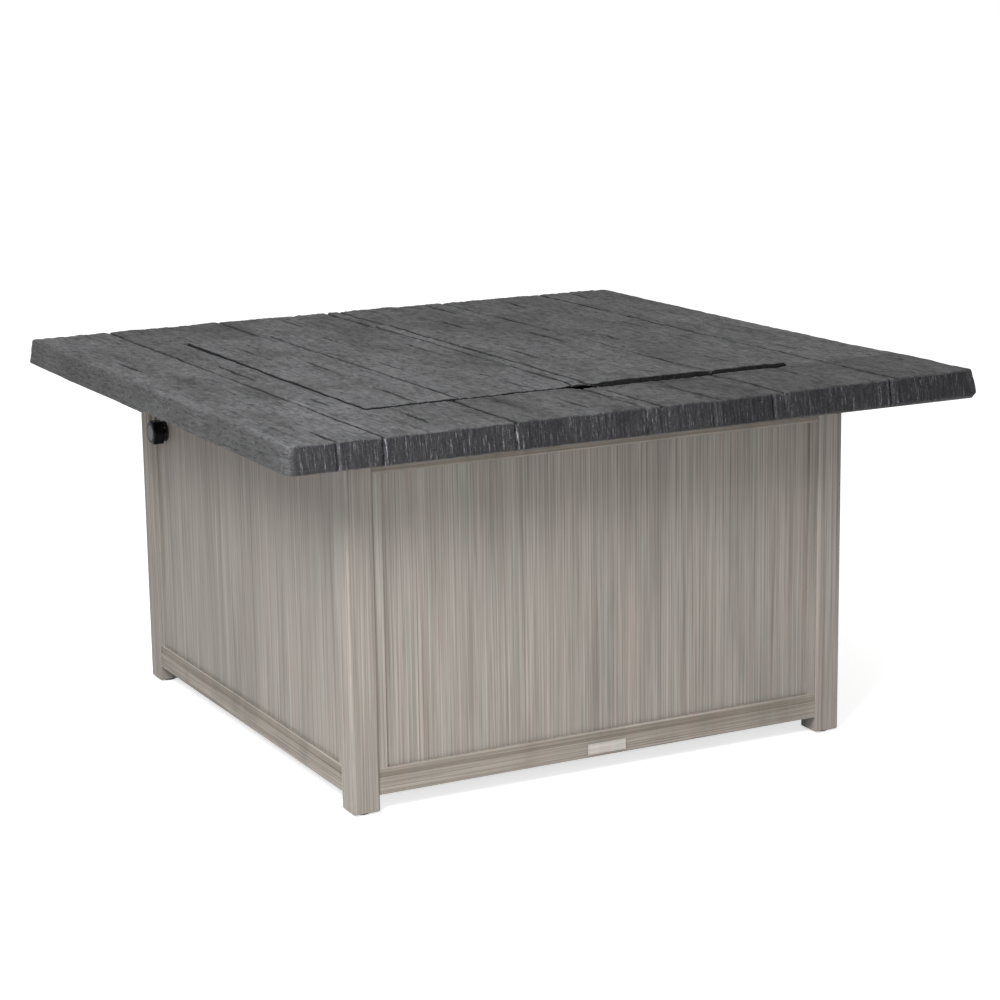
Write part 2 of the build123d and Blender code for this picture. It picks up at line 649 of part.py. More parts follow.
# ---------------------------------------------------------------- valve and knob
# Distances along the valve's axis, as x, from the knob's face inwards.
FACE_X = -PANEL_FACE
KNOB_FRONT_X = FACE_X - KNOB_OUT
KNOB_BACK_X = KNOB_FRONT_X + KNOB_LENGTH
NECK_X = FACE_X - BEZEL_THICK
VALVE_X = FACE_X + PANEL_SHEET
BODY_X = VALVE_X + VALVE_FLANGE
PLUNGER_X = BODY_X + PLUNGER_SET
BODY_END_X = BODY_X + VALVE_LENGTH
CHAMBER_END_X = BODY_END_X - CHAMBER_BACK


def control_knob():
    """Six-sided knob, chamfered round at its face like a nut, with a hub behind."""
    knob = extrude(RegularPolygon(KNOB_FLATS / 2, 6, major_radius=False), KNOB_LENGTH)
    knob = vertical_fillet(knob, KNOB_EDGE_R)
    corner_r = KNOB_FLATS / 2 / math.cos(math.radians(30))
    drop = (corner_r - KNOB_FACE_R) * 0.6
    cone = Pos(0, 0, KNOB_LENGTH - drop) * extrude(
        Circle(corner_r), drop, taper=math.degrees(math.atan((corner_r - KNOB_FACE_R) / drop)))
    knob &= cone + Pos(0, 0, (KNOB_LENGTH - drop) / 2) * Cylinder(corner_r, KNOB_LENGTH - drop)
    knob += Pos(0, 0, -KNOB_HUB / 2) * Cylinder(KNOB_HUB_R, KNOB_HUB)
    knob -= Pos(0, 0, STEM_IN_KNOB / 2 - KNOB_HUB) * Cylinder(STEM_R, STEM_IN_KNOB)
    knob -= Pos(0, 0, KNOB_LENGTH - CAP_THICK / 2) * Cylinder(CAP_R, CAP_THICK)
    return Pos(KNOB_BACK_X, KNOB_Y, KNOB_Z) * Rot(0, -90, 0) * Rot(0, 0, 30) * knob


def knob_cap():
    disc = rod_x(CAP_R, KNOB_Y, KNOB_Z, KNOB_FRONT_X - 0.4, KNOB_FRONT_X + CAP_THICK)
    return chamfer(disc.edges().group_by(Axis.X)[0], 0.35)


def valve_stem():
    return rod_x(STEM_R, KNOB_Y, KNOB_Z, KNOB_BACK_X + KNOB_HUB - STEM_IN_KNOB, PLUNGER_X)


def knob_bezel():
    ring = rod_x(BEZEL_R, KNOB_Y, KNOB_Z, NECK_X, FACE_X)
    ring = chamfer(ring.edges().group_by(Axis.X)[0], 0.6)
    return ring - rod_x(NECK_R, KNOB_Y, KNOB_Z, NECK_X - 1, FACE_X + 1)


def valve_body():
    body = rod_x(NECK_R, KNOB_Y, KNOB_Z, NECK_X, VALVE_X)
    body += rod_x(FLANGE_R, KNOB_Y, KNOB_Z, VALVE_X, BODY_X)
    body += block(BODY_X, BODY_END_X, KNOB_Y - VALVE_HALF, KNOB_Y + VALVE_HALF,
                  KNOB_Z - VALVE_HALF, KNOB_Z + VALVE_HALF)
    body -= rod_x(STEM_R + STEM_FIT, KNOB_Y, KNOB_Z, NECK_X - 1, PLUNGER_X)
    body -= rod_x(CHAMBER_R, KNOB_Y, KNOB_Z, PLUNGER_X - 0.5, CHAMBER_END_X)
    body -= rod_x(GAS_TUBE_R - GAS_TUBE_WALL, KNOB_Y, KNOB_Z, CHAMBER_END_X - 1, BODY_END_X + 1)
    body -= rod_z(INLET_BORE, BODY_X + VALVE_LENGTH / 2, KNOB_Y,
                  KNOB_Z - VALVE_HALF - 1, KNOB_Z - CHAMBER_R + 2)
    return body


def valve_plunger():
    return rod_x(PLUNGER_R, KNOB_Y, KNOB_Z, PLUNGER_X, PLUNGER_X + PLUNGER_THICK)


def valve_spring():
    room = CHAMBER_END_X - PLUNGER_X - PLUNGER_THICK - 2 * SPRING_WIRE_R - 0.2
    coil = Helix(room / SPRING_TURNS, room, SPRING_R)
    wire = sweep(Plane(origin=coil @ 0, z_dir=coil % 0) * Circle(SPRING_WIRE_R), path=coil)
    start = PLUNGER_X + PLUNGER_THICK + SPRING_WIRE_R + 0.1
    return Pos(start, KNOB_Y, KNOB_Z) * Rot(0, 90, 0) * wire


def gas_inlet():
    x, top = BODY_X + VALVE_LENGTH / 2, KNOB_Z - VALVE_HALF
    fitting = hexagon_z(INLET_HEX_R, x, KNOB_Y, top - INLET_HEX, top)
    fitting += rod_z(INLET_R, x, KNOB_Y, top - INLET_HEX - INLET_LENGTH, top - INLET_HEX)
    return fitting - rod_z(INLET_BORE, x, KNOB_Y, top - INLET_HEX - INLET_LENGTH - 1, top + 1)


def bent_tube(points, radii, radius, bore=0.0):
    """Round tube along straight runs joined by tangent arcs."""
    path = FilletPolyline(*points, radius=radii)
    start = Plane(origin=path @ 0, z_dir=path % 0)
    tube = sweep(start * Circle(radius), path=path)
    if bore > 0:
        tube -= sweep(start * Circle(bore), path=path)
    return tube


def gas_tube():
    """Soft metal tube from the valve, over the tank's space, to the burner's elbow."""
    points = [(BODY_END_X, KNOB_Y, KNOB_Z), (BODY_END_X + 50, KNOB_Y, KNOB_Z),
              (BODY_END_X + 95, KNOB_Y - 25, TUBE_Z), (-210, KNOB_Y * 0.55, TUBE_Z),
              (-110, 0, TUBE_Z), (-ELBOW_HALF, 0, TUBE_Z)]
    return bent_tube(points, [28, 40, 60, 50], GAS_TUBE_R, GAS_TUBE_R - GAS_TUBE_WALL)


def tube_nuts():
    """Flare nuts round the two ends of the gas tube."""
    first = Pos(BODY_END_X, KNOB_Y, KNOB_Z) * Rot(0, 90, 0) * extrude(
        RegularPolygon(GAS_NUT_R, 6), GAS_NUT)
    first -= rod_x(GAS_TUBE_R, KNOB_Y, KNOB_Z, BODY_END_X - 1, BODY_END_X + GAS_NUT + 1)
    second = Pos(-ELBOW_HALF - GAS_NUT, 0, TUBE_Z) * Rot(0, 90, 0) * extrude(
        RegularPolygon(ELBOW_HEIGHT / 2, 6), GAS_NUT)
    second -= rod_x(GAS_TUBE_R, 0, TUBE_Z, -ELBOW_HALF - GAS_NUT - 1, -ELBOW_HALF + 1)
    return [first, second]


def ignition_lead():
    """Insulated lead from the valve's spark terminal to the electrode, clipped to the shield."""
    y = KNOB_Y + VALVE_HALF - 4
    z = KNOB_Z + VALVE_HALF - 4
    end_z = PAN_UNDER - ELECTRODE_TAIL
    points = [(BODY_END_X, y, z), (BODY_END_X + 60, y, z), (BODY_END_X + 130, y - 30, LEAD_Z),
              (-120, KNOB_Y * 0.7, LEAD_Z), (60, KNOB_Y * 0.45, LEAD_Z),
              (ELECTRODE_X, KNOB_Y * 0.2, LEAD_Z), (ELECTRODE_X, 0, LEAD_Z),
              (ELECTRODE_X, 0, end_z)]
    return bent_tube(points, [45, 60, 90, 70, 30, 12.5], LEAD_R)


# ---------------------------------------------------------------- write the nodes
def main():
    os.makedirs("parts", exist_ok=True)
    save("table_top", table_top())
    save("burner_cover", burner_cover())
    save("cover_pads", *cover_pads())
    save("top_gussets", *top_gussets())
    save("top_bolts", *top_bolts())
    save("burner_pan", burner_pan())
    save("burner_tubes", burner_tubes())
    save("burner_saddles", *burner_saddles())
    save("burner_locknut", burner_locknut())
    save("burner_elbow", burner_elbow())
    save("burner_grate", burner_grate())
    save("grate_legs", *grate_legs())
    save("lava_rock", lava_rock())
    save("spark_electrode", spark_electrode())
    save("electrode_bracket", electrode_bracket())
    save("heat_shield", heat_shield())
    save("shield_studs", *shield_studs())
    save("shield_nuts", *shield_nuts())

    corner = post()
    low_rail = rail(RAIL_LIFT, LOW_TOP)
    high_rail = rail(HIGH_BOTTOM, UNDERSIDE)
    pins = door_pins()
    for n, name in enumerate(("front_left", "front_right", "back_right", "back_left")):
        save(f"post_{name}", turned(corner, n))
    for n, name in enumerate(("front", "right", "back", "left")):
        low, high = turned(low_rail, n), turned(high_rail, n)
        if name == "back":
            low, high = low - pins[0], high - pins[1]
        save(f"bottom_rail_{name}", low)
        save(f"top_rail_{name}", high)
    knob_hole = rod_x(NECK_R, KNOB_Y, KNOB_Z, FACE_X - 1, VALVE_X + 1)
    for n, name in ((0, "front"), (1, "right"), (3, "left")):
        save(f"panel_lip_{name}", turned(panel_lip(), n))
        sheet = turned(panel(), n)
        save(f"panel_{name}", sheet - knob_hole if name == "left" else sheet)
    for sx, sy in CORNERS:
        save(f"foot_{'front' if sy < 0 else 'back'}_{'left' if sx < 0 else 'right'}", foot(sx, sy))
    save("nameplate", nameplate())

    save("door_frame", door_frame())
    save("door_panel", turned(panel(DOOR_GAP), 2))
    save("door_pins", *pins)
    save("door_pull", door_pull())
    save("door_magnet", door_magnet())
    save("catch_plate", catch_plate())
    save("tank_tray", tank_tray())
    save("tank_collar", tank_collar())

    save("control_knob", control_knob())
    save("knob_cap", knob_cap())
    save("knob_bezel", knob_bezel())
    save("valve_stem", valve_stem())
    save("valve_body", valve_body())
    save("valve_plunger", valve_plunger())
    save("valve_spring", valve_spring())
    save("gas_inlet", gas_inlet())
    save("gas_tube", gas_tube())
    save("tube_nuts", *tube_nuts())
    save("ignition_lead", ignition_lead())


main()
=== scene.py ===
import json
import math
import bmesh
import bpy
import numpy as np
from mathutils import Matrix, Vector


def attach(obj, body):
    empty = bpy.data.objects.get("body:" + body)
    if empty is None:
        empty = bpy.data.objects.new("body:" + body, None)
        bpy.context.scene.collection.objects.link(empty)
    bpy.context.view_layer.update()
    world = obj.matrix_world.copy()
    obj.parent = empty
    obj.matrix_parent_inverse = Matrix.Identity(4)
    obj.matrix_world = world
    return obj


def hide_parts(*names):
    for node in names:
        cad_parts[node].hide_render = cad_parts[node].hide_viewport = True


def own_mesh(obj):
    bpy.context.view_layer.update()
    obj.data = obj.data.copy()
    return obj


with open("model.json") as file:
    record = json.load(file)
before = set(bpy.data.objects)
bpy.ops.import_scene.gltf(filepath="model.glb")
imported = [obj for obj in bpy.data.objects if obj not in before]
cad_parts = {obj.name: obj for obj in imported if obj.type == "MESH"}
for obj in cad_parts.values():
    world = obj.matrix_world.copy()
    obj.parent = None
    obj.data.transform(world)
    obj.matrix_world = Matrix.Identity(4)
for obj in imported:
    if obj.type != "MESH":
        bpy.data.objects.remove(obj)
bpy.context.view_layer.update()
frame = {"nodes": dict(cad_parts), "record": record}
nodes = frame["nodes"]
MM = 0.001

# ------------------------------------------------------------------ sizes, in mm
TOP_Z, UNDER_Z = 629.0, 586.0
TOP_HALF, FLARE = 610.0, 7.0
SKIN_Z = 624.0
SKIRT = 6.0
LEDGE_Z, LEDGE_UNDER = 609.0, 604.0
SEAT_HALF, TRAY_HALF, PAN_OPEN = 388.8, 395.0, 306.0
LID_HALF, LID_TOP, LID_LOW, LID_SKIN = 387.0, 632.0, 611.0, 627.0
SCOOP = 14.0          # how far the finger notch cuts the border
BORDER = 392.0        # beyond this the planks of the border have tones of their own
# Stiffeners under the top: thin ribs, the ring that sits on the rails, and the bolt bosses.
RIB_HALF, RIB_PITCH, RIB_LOW, RIB_TOP = 2.5, 250.0, 594.0, 624.5
RIB_END, RING_OUT, RING_IN, RIB_START = 603.0, 445.0, 433.0, 395.0
BOSS_AT, BOSS_R = 384.5, 10.0
# Stiffeners under the cover.
LID_RIB_HALF, LID_RIB_PITCH, LID_RIB_LOW, LID_RIB_TOP = 1.5, 190.0, 615.0, LID_SKIN + 0.5
LID_RIB_END, LID_RIB_FRONT, LID_BOSS_AT = 379.0, 362.0, 370.0
# Bed of lava rock: half its width, spacing, lowest and highest point.
BED_HALF, ROCK_PITCH, BED_LOW, BED_TOP = 282.0, 27.0, 569.2, 600.0
# Joints between the planks, along y, by their x.
JOINTS = [-457.0, -237.0, -14.0, 14.0, 237.0, 456.0]
# Cracks in the cast planks: x, then from y to y.
TOP_CRACKS = [(-428, -50, 174), (-421, -327, -240), (-347, -540, -423), (-126, 450, 594),
              (196, 459, 604), (350, 451, 595), (518, 506, 596), (348, -488, -407),
              (499, -256, -183), (-531, -624, -500), (560, -90, 60), (-560, 120, 260),
              (120, -612, -403), (-90, -560, -470), (410, 90, 220)]
LID_CRACKS = [(-294, -385, -211), (-287, -56, 82), (-56, 9, 187), (-184, -125, 19),
              (-88, -240, -183), (-88, -359, -258), (70, -129, 30), (192, -11, 150),
              (290, -4, 83), (150, -356, -304), (323, -360, -225), (189, 73, 158),
              (118, 249, 387), (-150, 230, 330), (-330, 180, 300)]
# Notches in the front and back edges, by their x.
FRONT_NOTCHES = [-531, -457, -241, -14, 107, 217, 442]
BACK_NOTCHES = [-462, -239, -126, -12, 23, 243, 454, 523]


# ------------------------------------------------------------------ random fields
def field(seed):
    """Smooth random field of two coordinates, from -1 to 1, one cell a unit."""
    table = np.random.default_rng(seed).uniform(-1, 1, (128, 128))

    def at(x, y=0.0):
        x, y = np.broadcast_arrays(np.asarray(x, float), np.asarray(y, float))
        i, j = np.floor(x).astype(int), np.floor(y).astype(int)
        u, v = x - i, y - j
        u, v = u * u * (3 - 2 * u), v * v * (3 - 2 * v)
        low = table[i % 128, j % 128] * (1 - u) + table[(i + 1) % 128, j % 128] * u
        high = table[i % 128, (j + 1) % 128] * (1 - u) + table[(i + 1) % 128, (j + 1) % 128] * u
        return low * (1 - v) + high * v
    return at


def smooth(t):
    t = np.clip(t, 0, 1)
    return t * t * (3 - 2 * t)


def lines(low, high, coarse, fine, centres, reach):
    """Grid lines from low to high, closer together near the given centres."""
    out = [low]
    while out[-1] < high:
        near = any(abs(out[-1] - c) < reach for c in centres)
        out.append(out[-1] + (fine if near else coarse))
    out[-1] = high
    if out[-1] - out[-2] < fine / 2:
        out.pop(-2)
    return out


def with_lines(values, extra):
    """The same lines with some exact ones put in place of the nearest."""
    values = np.array(values)
    for e in extra:
        values[np.argmin(abs(values - e))] = e
    return values


# ------------------------------------------------------------------ wood relief
n1, n2, n3, n4, n5, n6, n7, n8 = (field(s) for s in range(11, 19))


def relief(x, y, joints, cracks, seed):
    """Height of the plank surface over its nominal plane, in mm, and the painted shade in its
    joints and cracks.
    """
    z = 0.34 * n1(x / 3.6 + seed, y / 50) + 0.42 * n2(x / 9 + seed, y / 90)
    z += 0.55 * n3(x / 34 + seed, y / 130) + 0.45 * n4(x / 12, y / 16) + 0.5 * n6(x / 28, y / 21)
    z += 0.35 * n7(x / 5 + seed, y / 22) * smooth(n8(x / 110 + seed, y / 150) + 0.6)
    plank = np.searchsorted(np.array(joints), x)
    z += 0.5 * n5(plank * 3.7 + seed, seed) + 0.5 * n6(plank * 2.3 + seed, y / 400)
    hollow = np.zeros(z.shape)
    for k, joint in enumerate(joints):
        path = joint + 1.1 * n7(y / 80, k + seed) + 0.5 * n8(y / 17, k + seed)
        gap = abs(x - path)
        width = 2.9 + 0.9 * n6(y / 45, 9 + k)
        cut = np.clip(1 - gap / width, 0, 1) ** 0.6
        z -= 3.8 * cut + 0.7 * np.exp(-(gap / 6) ** 2)
        hollow = np.maximum(hollow, (1.5 + 0.3 * n4(y / 50, k + 3)) * np.exp(-(gap / 2.7) ** 2))
    for k, (at, y0, y1) in enumerate(cracks):
        t = np.clip((y - y0) / (y1 - y0), 0, 1)
        open_by = np.sqrt(np.clip(np.sin(math.pi * t), 0, 1)) * ((y > y0) & (y < y1))
        path = at + 2.6 * n7(y / 90, 40 + k + seed) + 0.9 * n8(y / 16, 60 + k)
        gap = abs(x - path)
        cut = open_by * np.clip(1 - gap / (0.8 + 2.1 * open_by), 0, 1) ** 0.6
        z -= 3.4 * cut + 0.5 * open_by * np.exp(-(gap / 5) ** 2)
        hollow = np.maximum(hollow, 1.5 * open_by * np.exp(-(gap / (0.8 + 1.9 * open_by)) ** 2))
    return z, np.minimum(hollow, 0.9)


def notch_cut(x, z, notches, seed):
    """Depth of the notches in an end-grain edge, in mm."""
    cut = np.zeros(np.broadcast(x, z).shape)
    for k, at in enumerate(notches):
        lean = 0.10 * n5(k + seed, 3.0) * (TOP_Z - z) + 0.8 * n6(z / 6, k + seed)
        depth = 5.5 + 1.5 * n4(k * 1.7, seed)
        width = 3.4 + 0.9 * n3(k + 0.5, seed)
        cut += depth * np.clip(1 - abs(x - at - lean) / width, 0, 1) ** 0.8
    return cut


def end_grain(x, z, notches, seed):
    """Push of an end-grain edge, in mm outwards."""
    d = 0.75 * n1(x / 3.4 + seed, z / 60) + 0.8 * n2(x / 7.5 + seed, z / 55)
    d += 0.9 * n3(x / 19 + seed, z / 70) + 1.1 * n4(x / 90 + seed, 0.3)
    d += 0.5 * n5(x / 5.2 + seed, z / 9)
    plank = np.searchsorted(np.array(JOINTS), x)
    d += 1.3 * n6(plank * 2.9 + seed, seed)
    return d - 0.2 - notch_cut(x, z, notches, seed)


def long_grain(y, z, seed):
    """Push of an edge that runs along the planks."""
    d = 1.7 * n3(y / 190 + seed, 0.7) + 0.9 * n2(y / 75 + seed, z / 16)
    d += 0.45 * n1(y / 30 + seed, z / 5.0) + 0.35 * n4(y / 14 + seed, z / 9)
    return d + 0.3


# ------------------------------------------------------------------ slab builder
class Slab:
    """Vertices and faces of a square slab whose top is a grid."""

    def __init__(self):
        self.v, self.f, self.hollow, self.end, self.tone = [], [], [], [], []
        self.count = 0

    def add(self, points, hollow=0.0, end=0.0, tone=1.0):
        """Adds points with how much painted shade they take in recesses, how much end grain and
        how bright they are.
        """
        self.v.append(np.asarray(points, float).reshape(-1, 3))
        for store, value in ((self.hollow, hollow), (self.end, end), (self.tone, tone)):
            store.append(np.broadcast_to(np.asarray(value, float).ravel(), len(self.v[-1])))
        first = self.count
        self.count += len(self.v[-1])
        return np.arange(first, self.count)

    def wall(self, upper, lower, outwards=True):
        """Quads between two rings of the same length."""
        u1, l1 = np.roll(upper, -1), np.roll(lower, -1)
        quads = np.stack([lower, l1, u1, upper] if outwards else [upper, u1, l1, lower], 1)
        self.f.extend(quads.tolist())

    def cover_grid(self, grid, hole=(0, 0, 0, 0)):
        """Quads over the grid, but for a hole of grid lines i0 to i1 and j0 to j1."""
        i0, i1, j0, j1 = hole
        for i in range(grid.shape[0] - 1):
            for j in range(grid.shape[1] - 1):
                if not (i0 <= i < i1 and j0 <= j < j1):
                    quad = (grid[i, j], grid[i + 1, j], grid[i + 1, j + 1], grid[i, j + 1])
                    self.f.append([int(q) for q in quad])

    def box(self, x0, x1, y0, y1, z0, z1):
        c = self.add([(x, y, z) for z in (z0, z1) for y in (y0, y1) for x in (x0, x1)])
        for q in ((0, 2, 3, 1), (4, 5, 7, 6), (0, 1, 5, 4),
                  (2, 6, 7, 3), (0, 4, 6, 2), (1, 3, 7, 5)):
            self.f.append([int(c[i]) for i in q])

    def drum(self, x, y, r, z0, z1):
        sides = 24
        turn = np.arange(sides) * 2 * math.pi / sides
        low, high = (self.add(np.stack([x + r * np.cos(turn), y + r * np.sin(turn),
                                        np.full(sides, z)], 1)) for z in (z0, z1))
        self.wall(high, low)
        self.f.append(low[::-1].tolist())
        self.f.append(high.tolist())

    def mesh(self, name):
        me = bpy.data.meshes.new(name)
        me.from_pydata((np.concatenate(self.v) * MM).tolist(), [], self.f)
        for key, store in (("hollow", self.hollow), ("end_grain", self.end), ("tone", self.tone)):
            me.attributes.new(key, "FLOAT", "POINT").data.foreach_set(
                "value", np.concatenate(store).astype(np.float32))
        return shade(me, 38)


def shade(me, angle):
    """Smooth shading with edges kept sharp beyond an angle in degrees."""
    bm = bmesh.new()
    bm.from_mesh(me)
    bmesh.ops.recalc_face_normals(bm, faces=bm.faces)
    bm.to_mesh(me)
    bm.free()
    me.polygons.foreach_set("use_smooth", [True] * len(me.polygons))
    me.set_sharp_from_angle(angle=math.radians(angle))
    me.update()
    return me


def rim(nx, ny, i0=0, i1=None, j0=0, j1=None):
    """Grid places (i, j) round a rectangle of grid lines, anticlockwise from above."""
    i1, j1 = nx - 1 if i1 is None else i1, ny - 1 if j1 is None else j1
    out = [(i, j0) for i in range(i0, i1)] + [(i1, j) for j in range(j0, j1)]
    out += [(i, j1) for i in range(i1, i0, -1)] + [(i0, j) for j in range(j1, j0, -1)]
    return np.array(out)


def rounded(x, y, half, r):
    """Moves the points of a square's corners onto a rounded corner of radius r."""
    u, v = abs(x) - (half - r), abs(y) - (half - r)
    inside = (u > 0) & (v > 0)
    reach = np.hypot(np.where(inside, u, 1), np.where(inside, v, 1))
    k = np.where(inside, np.maximum(u, v) / reach, 1)
    nx = np.where(inside, np.sign(x) * (half - r + u * k), x)
    ny = np.where(inside, np.sign(y) * (half - r + v * k), y)
    return nx, ny


def outward(x, y, half, r):
    """Unit outward direction of a rim point of a rounded square."""
    u, v = abs(x) - (half - r), abs(y) - (half - r)
    corner = (u > 0) & (v > 0)
    on_y = abs(y) >= abs(x)
    dx = np.where(corner, np.sign(x) * u, np.where(on_y, 0, np.sign(x)))
    dy = np.where(corner, np.sign(y) * v, np.where(on_y, np.sign(y), 0))
    size = np.hypot(dx, dy)
    return dx / size, dy / size


def build_slab(xs, ys, half, corner, arris, z_top, z_low, flare,
               height, push, reach, tone, edge_shade=0.0):
    """Slab with a displaced top grid and edge.

    height(x, y) is the relief of the top and the painted shade in its joints and cracks; push(x,
    y, dy, z) moves the edge outwards, dy being the y part of that direction; tone(x, y) is the
    brightness.
    Returns the slab, its grid of vertices, the grid's x and y, the lowest ring of vertices,
    that ring's x and y, and the outward directions.
    """
    s = Slab()
    gx, gy = np.meshgrid(xs, ys, indexing="ij")
    x, y = rounded(gx, gy, half - arris, corner)
    z, hollow = height(gx, gy)
    z = z + z_top
    bright = tone(gx, gy)
    # The top follows the edge's push, fading out over the given reach.
    for axis, sign in ((0, -1), (0, 1), (1, -1), (1, 1)):
        depth = half - arris - sign * (gy if axis else gx)
        fade = np.clip(1 - depth / reach, 0, 1) ** 2
        edge = np.full_like(gx, sign * half)
        at_x, at_y = (gx, edge) if axis else (edge, gy)
        moved = push(at_x, at_y, sign if axis else 0.0, np.full_like(gx, z_top)) * fade
        if axis:
            y = y + sign * moved
        else:
            x = x + sign * moved
    grid = s.add(np.stack([x, y, z], -1), hollow, 0.0, bright).reshape(len(xs), len(ys))
    place = rim(len(xs), len(ys))
    rx, ry = gx[place[:, 0], place[:, 1]], gy[place[:, 0], place[:, 1]]
    cx, cy = rounded(rx, ry, half - arris, corner)
    dx, dy = outward(rx, ry, half - arris, corner)
    rim_z = z[place[:, 0], place[:, 1]]
    rim_tone = bright[place[:, 0], place[:, 1]]
    ring = grid[place[:, 0], place[:, 1]]
    turn = [math.radians(a) for a in (30, 60, 90)]
    rows = [(arris * math.sin(a), arris * (1 - math.cos(a))) for a in turn]
    depth = z_top - z_low
    # Painted highlight: the rim beside each notch of the top's front edge is brightened as if
    # catching light; the cover has no flare.
    notch_highlight = sum(np.exp(-((cx - at - 2.4) / 1.4) ** 2) for at in FRONT_NOTCHES)
    glint = notch_highlight * (cy < 0) * (flare > 0) * 1.5
    low_lift = 0.6 * (cy < 0) + 0.7 * smooth((cx - 100) / 500) if flare else 0.0
    rows += [(arris + flare * t, t * depth) for t in np.linspace(0.08, 0.95, 13)]
    rows += [(arris + flare - arris * 0.5, depth)]
    for out, down in rows:
        t = min(1.0, down / 8.0)
        zz = rim_z * (1 - t) + z_top * t - down + 5 * low_lift * down / depth
        moved = push(cx, cy, dy, zz) + out
        last = (cx + dx * moved, cy + dy * moved)
        # Painted shade: the side edges below the arris are darkened, and the notch glints add
        # painted highlight.
        shaded = 1 - 0.32 * min(1.0, down / 4) * (1 - dy ** 2)
        # Where an edge shade is given, the edge below the arris takes painted shade.
        low = s.add(np.stack([*last, zz], -1), edge_shade * min(1.0, down / 1.5),
                    dy ** 2 * min(1.0, down / arris),
                    rim_tone * shaded * (1 + glint * (down > 1.5)))
        s.wall(ring, low)
        ring = low
    return s, grid, (gx, gy), ring, last, (dx, dy)


def top_push(x, y, dy, z):
    """Push of the top's edge: end grain at the front and back, long grain at the sides."""
    ends = np.asarray(dy, float) ** 2
    front = end_grain(x, z, FRONT_NOTCHES, 1.3)
    back = end_grain(x, z, BACK_NOTCHES, 7.9)
    back = back + 7 * smooth((np.asarray(x) + 380) / 200)
    side = np.where(np.asarray(x) < 0, long_grain(y, z, 2.1) + 3.5,
                    long_grain(y, z, 9.4) + 5 + 3 * smooth((TOP_Z - z) / 30))
    return ends * np.where(np.asarray(y) < 0, front, back) + (1 - ends) * side


def lip_shade(x, y):
    """The border dips a little along the right half of the cover's front edge."""
    near = smooth((y + 450) / 55) * (y < -SEAT_HALF + 1)
    return -2.6 * near * smooth((x - 8) / 30) * smooth((400 - x) / 40)


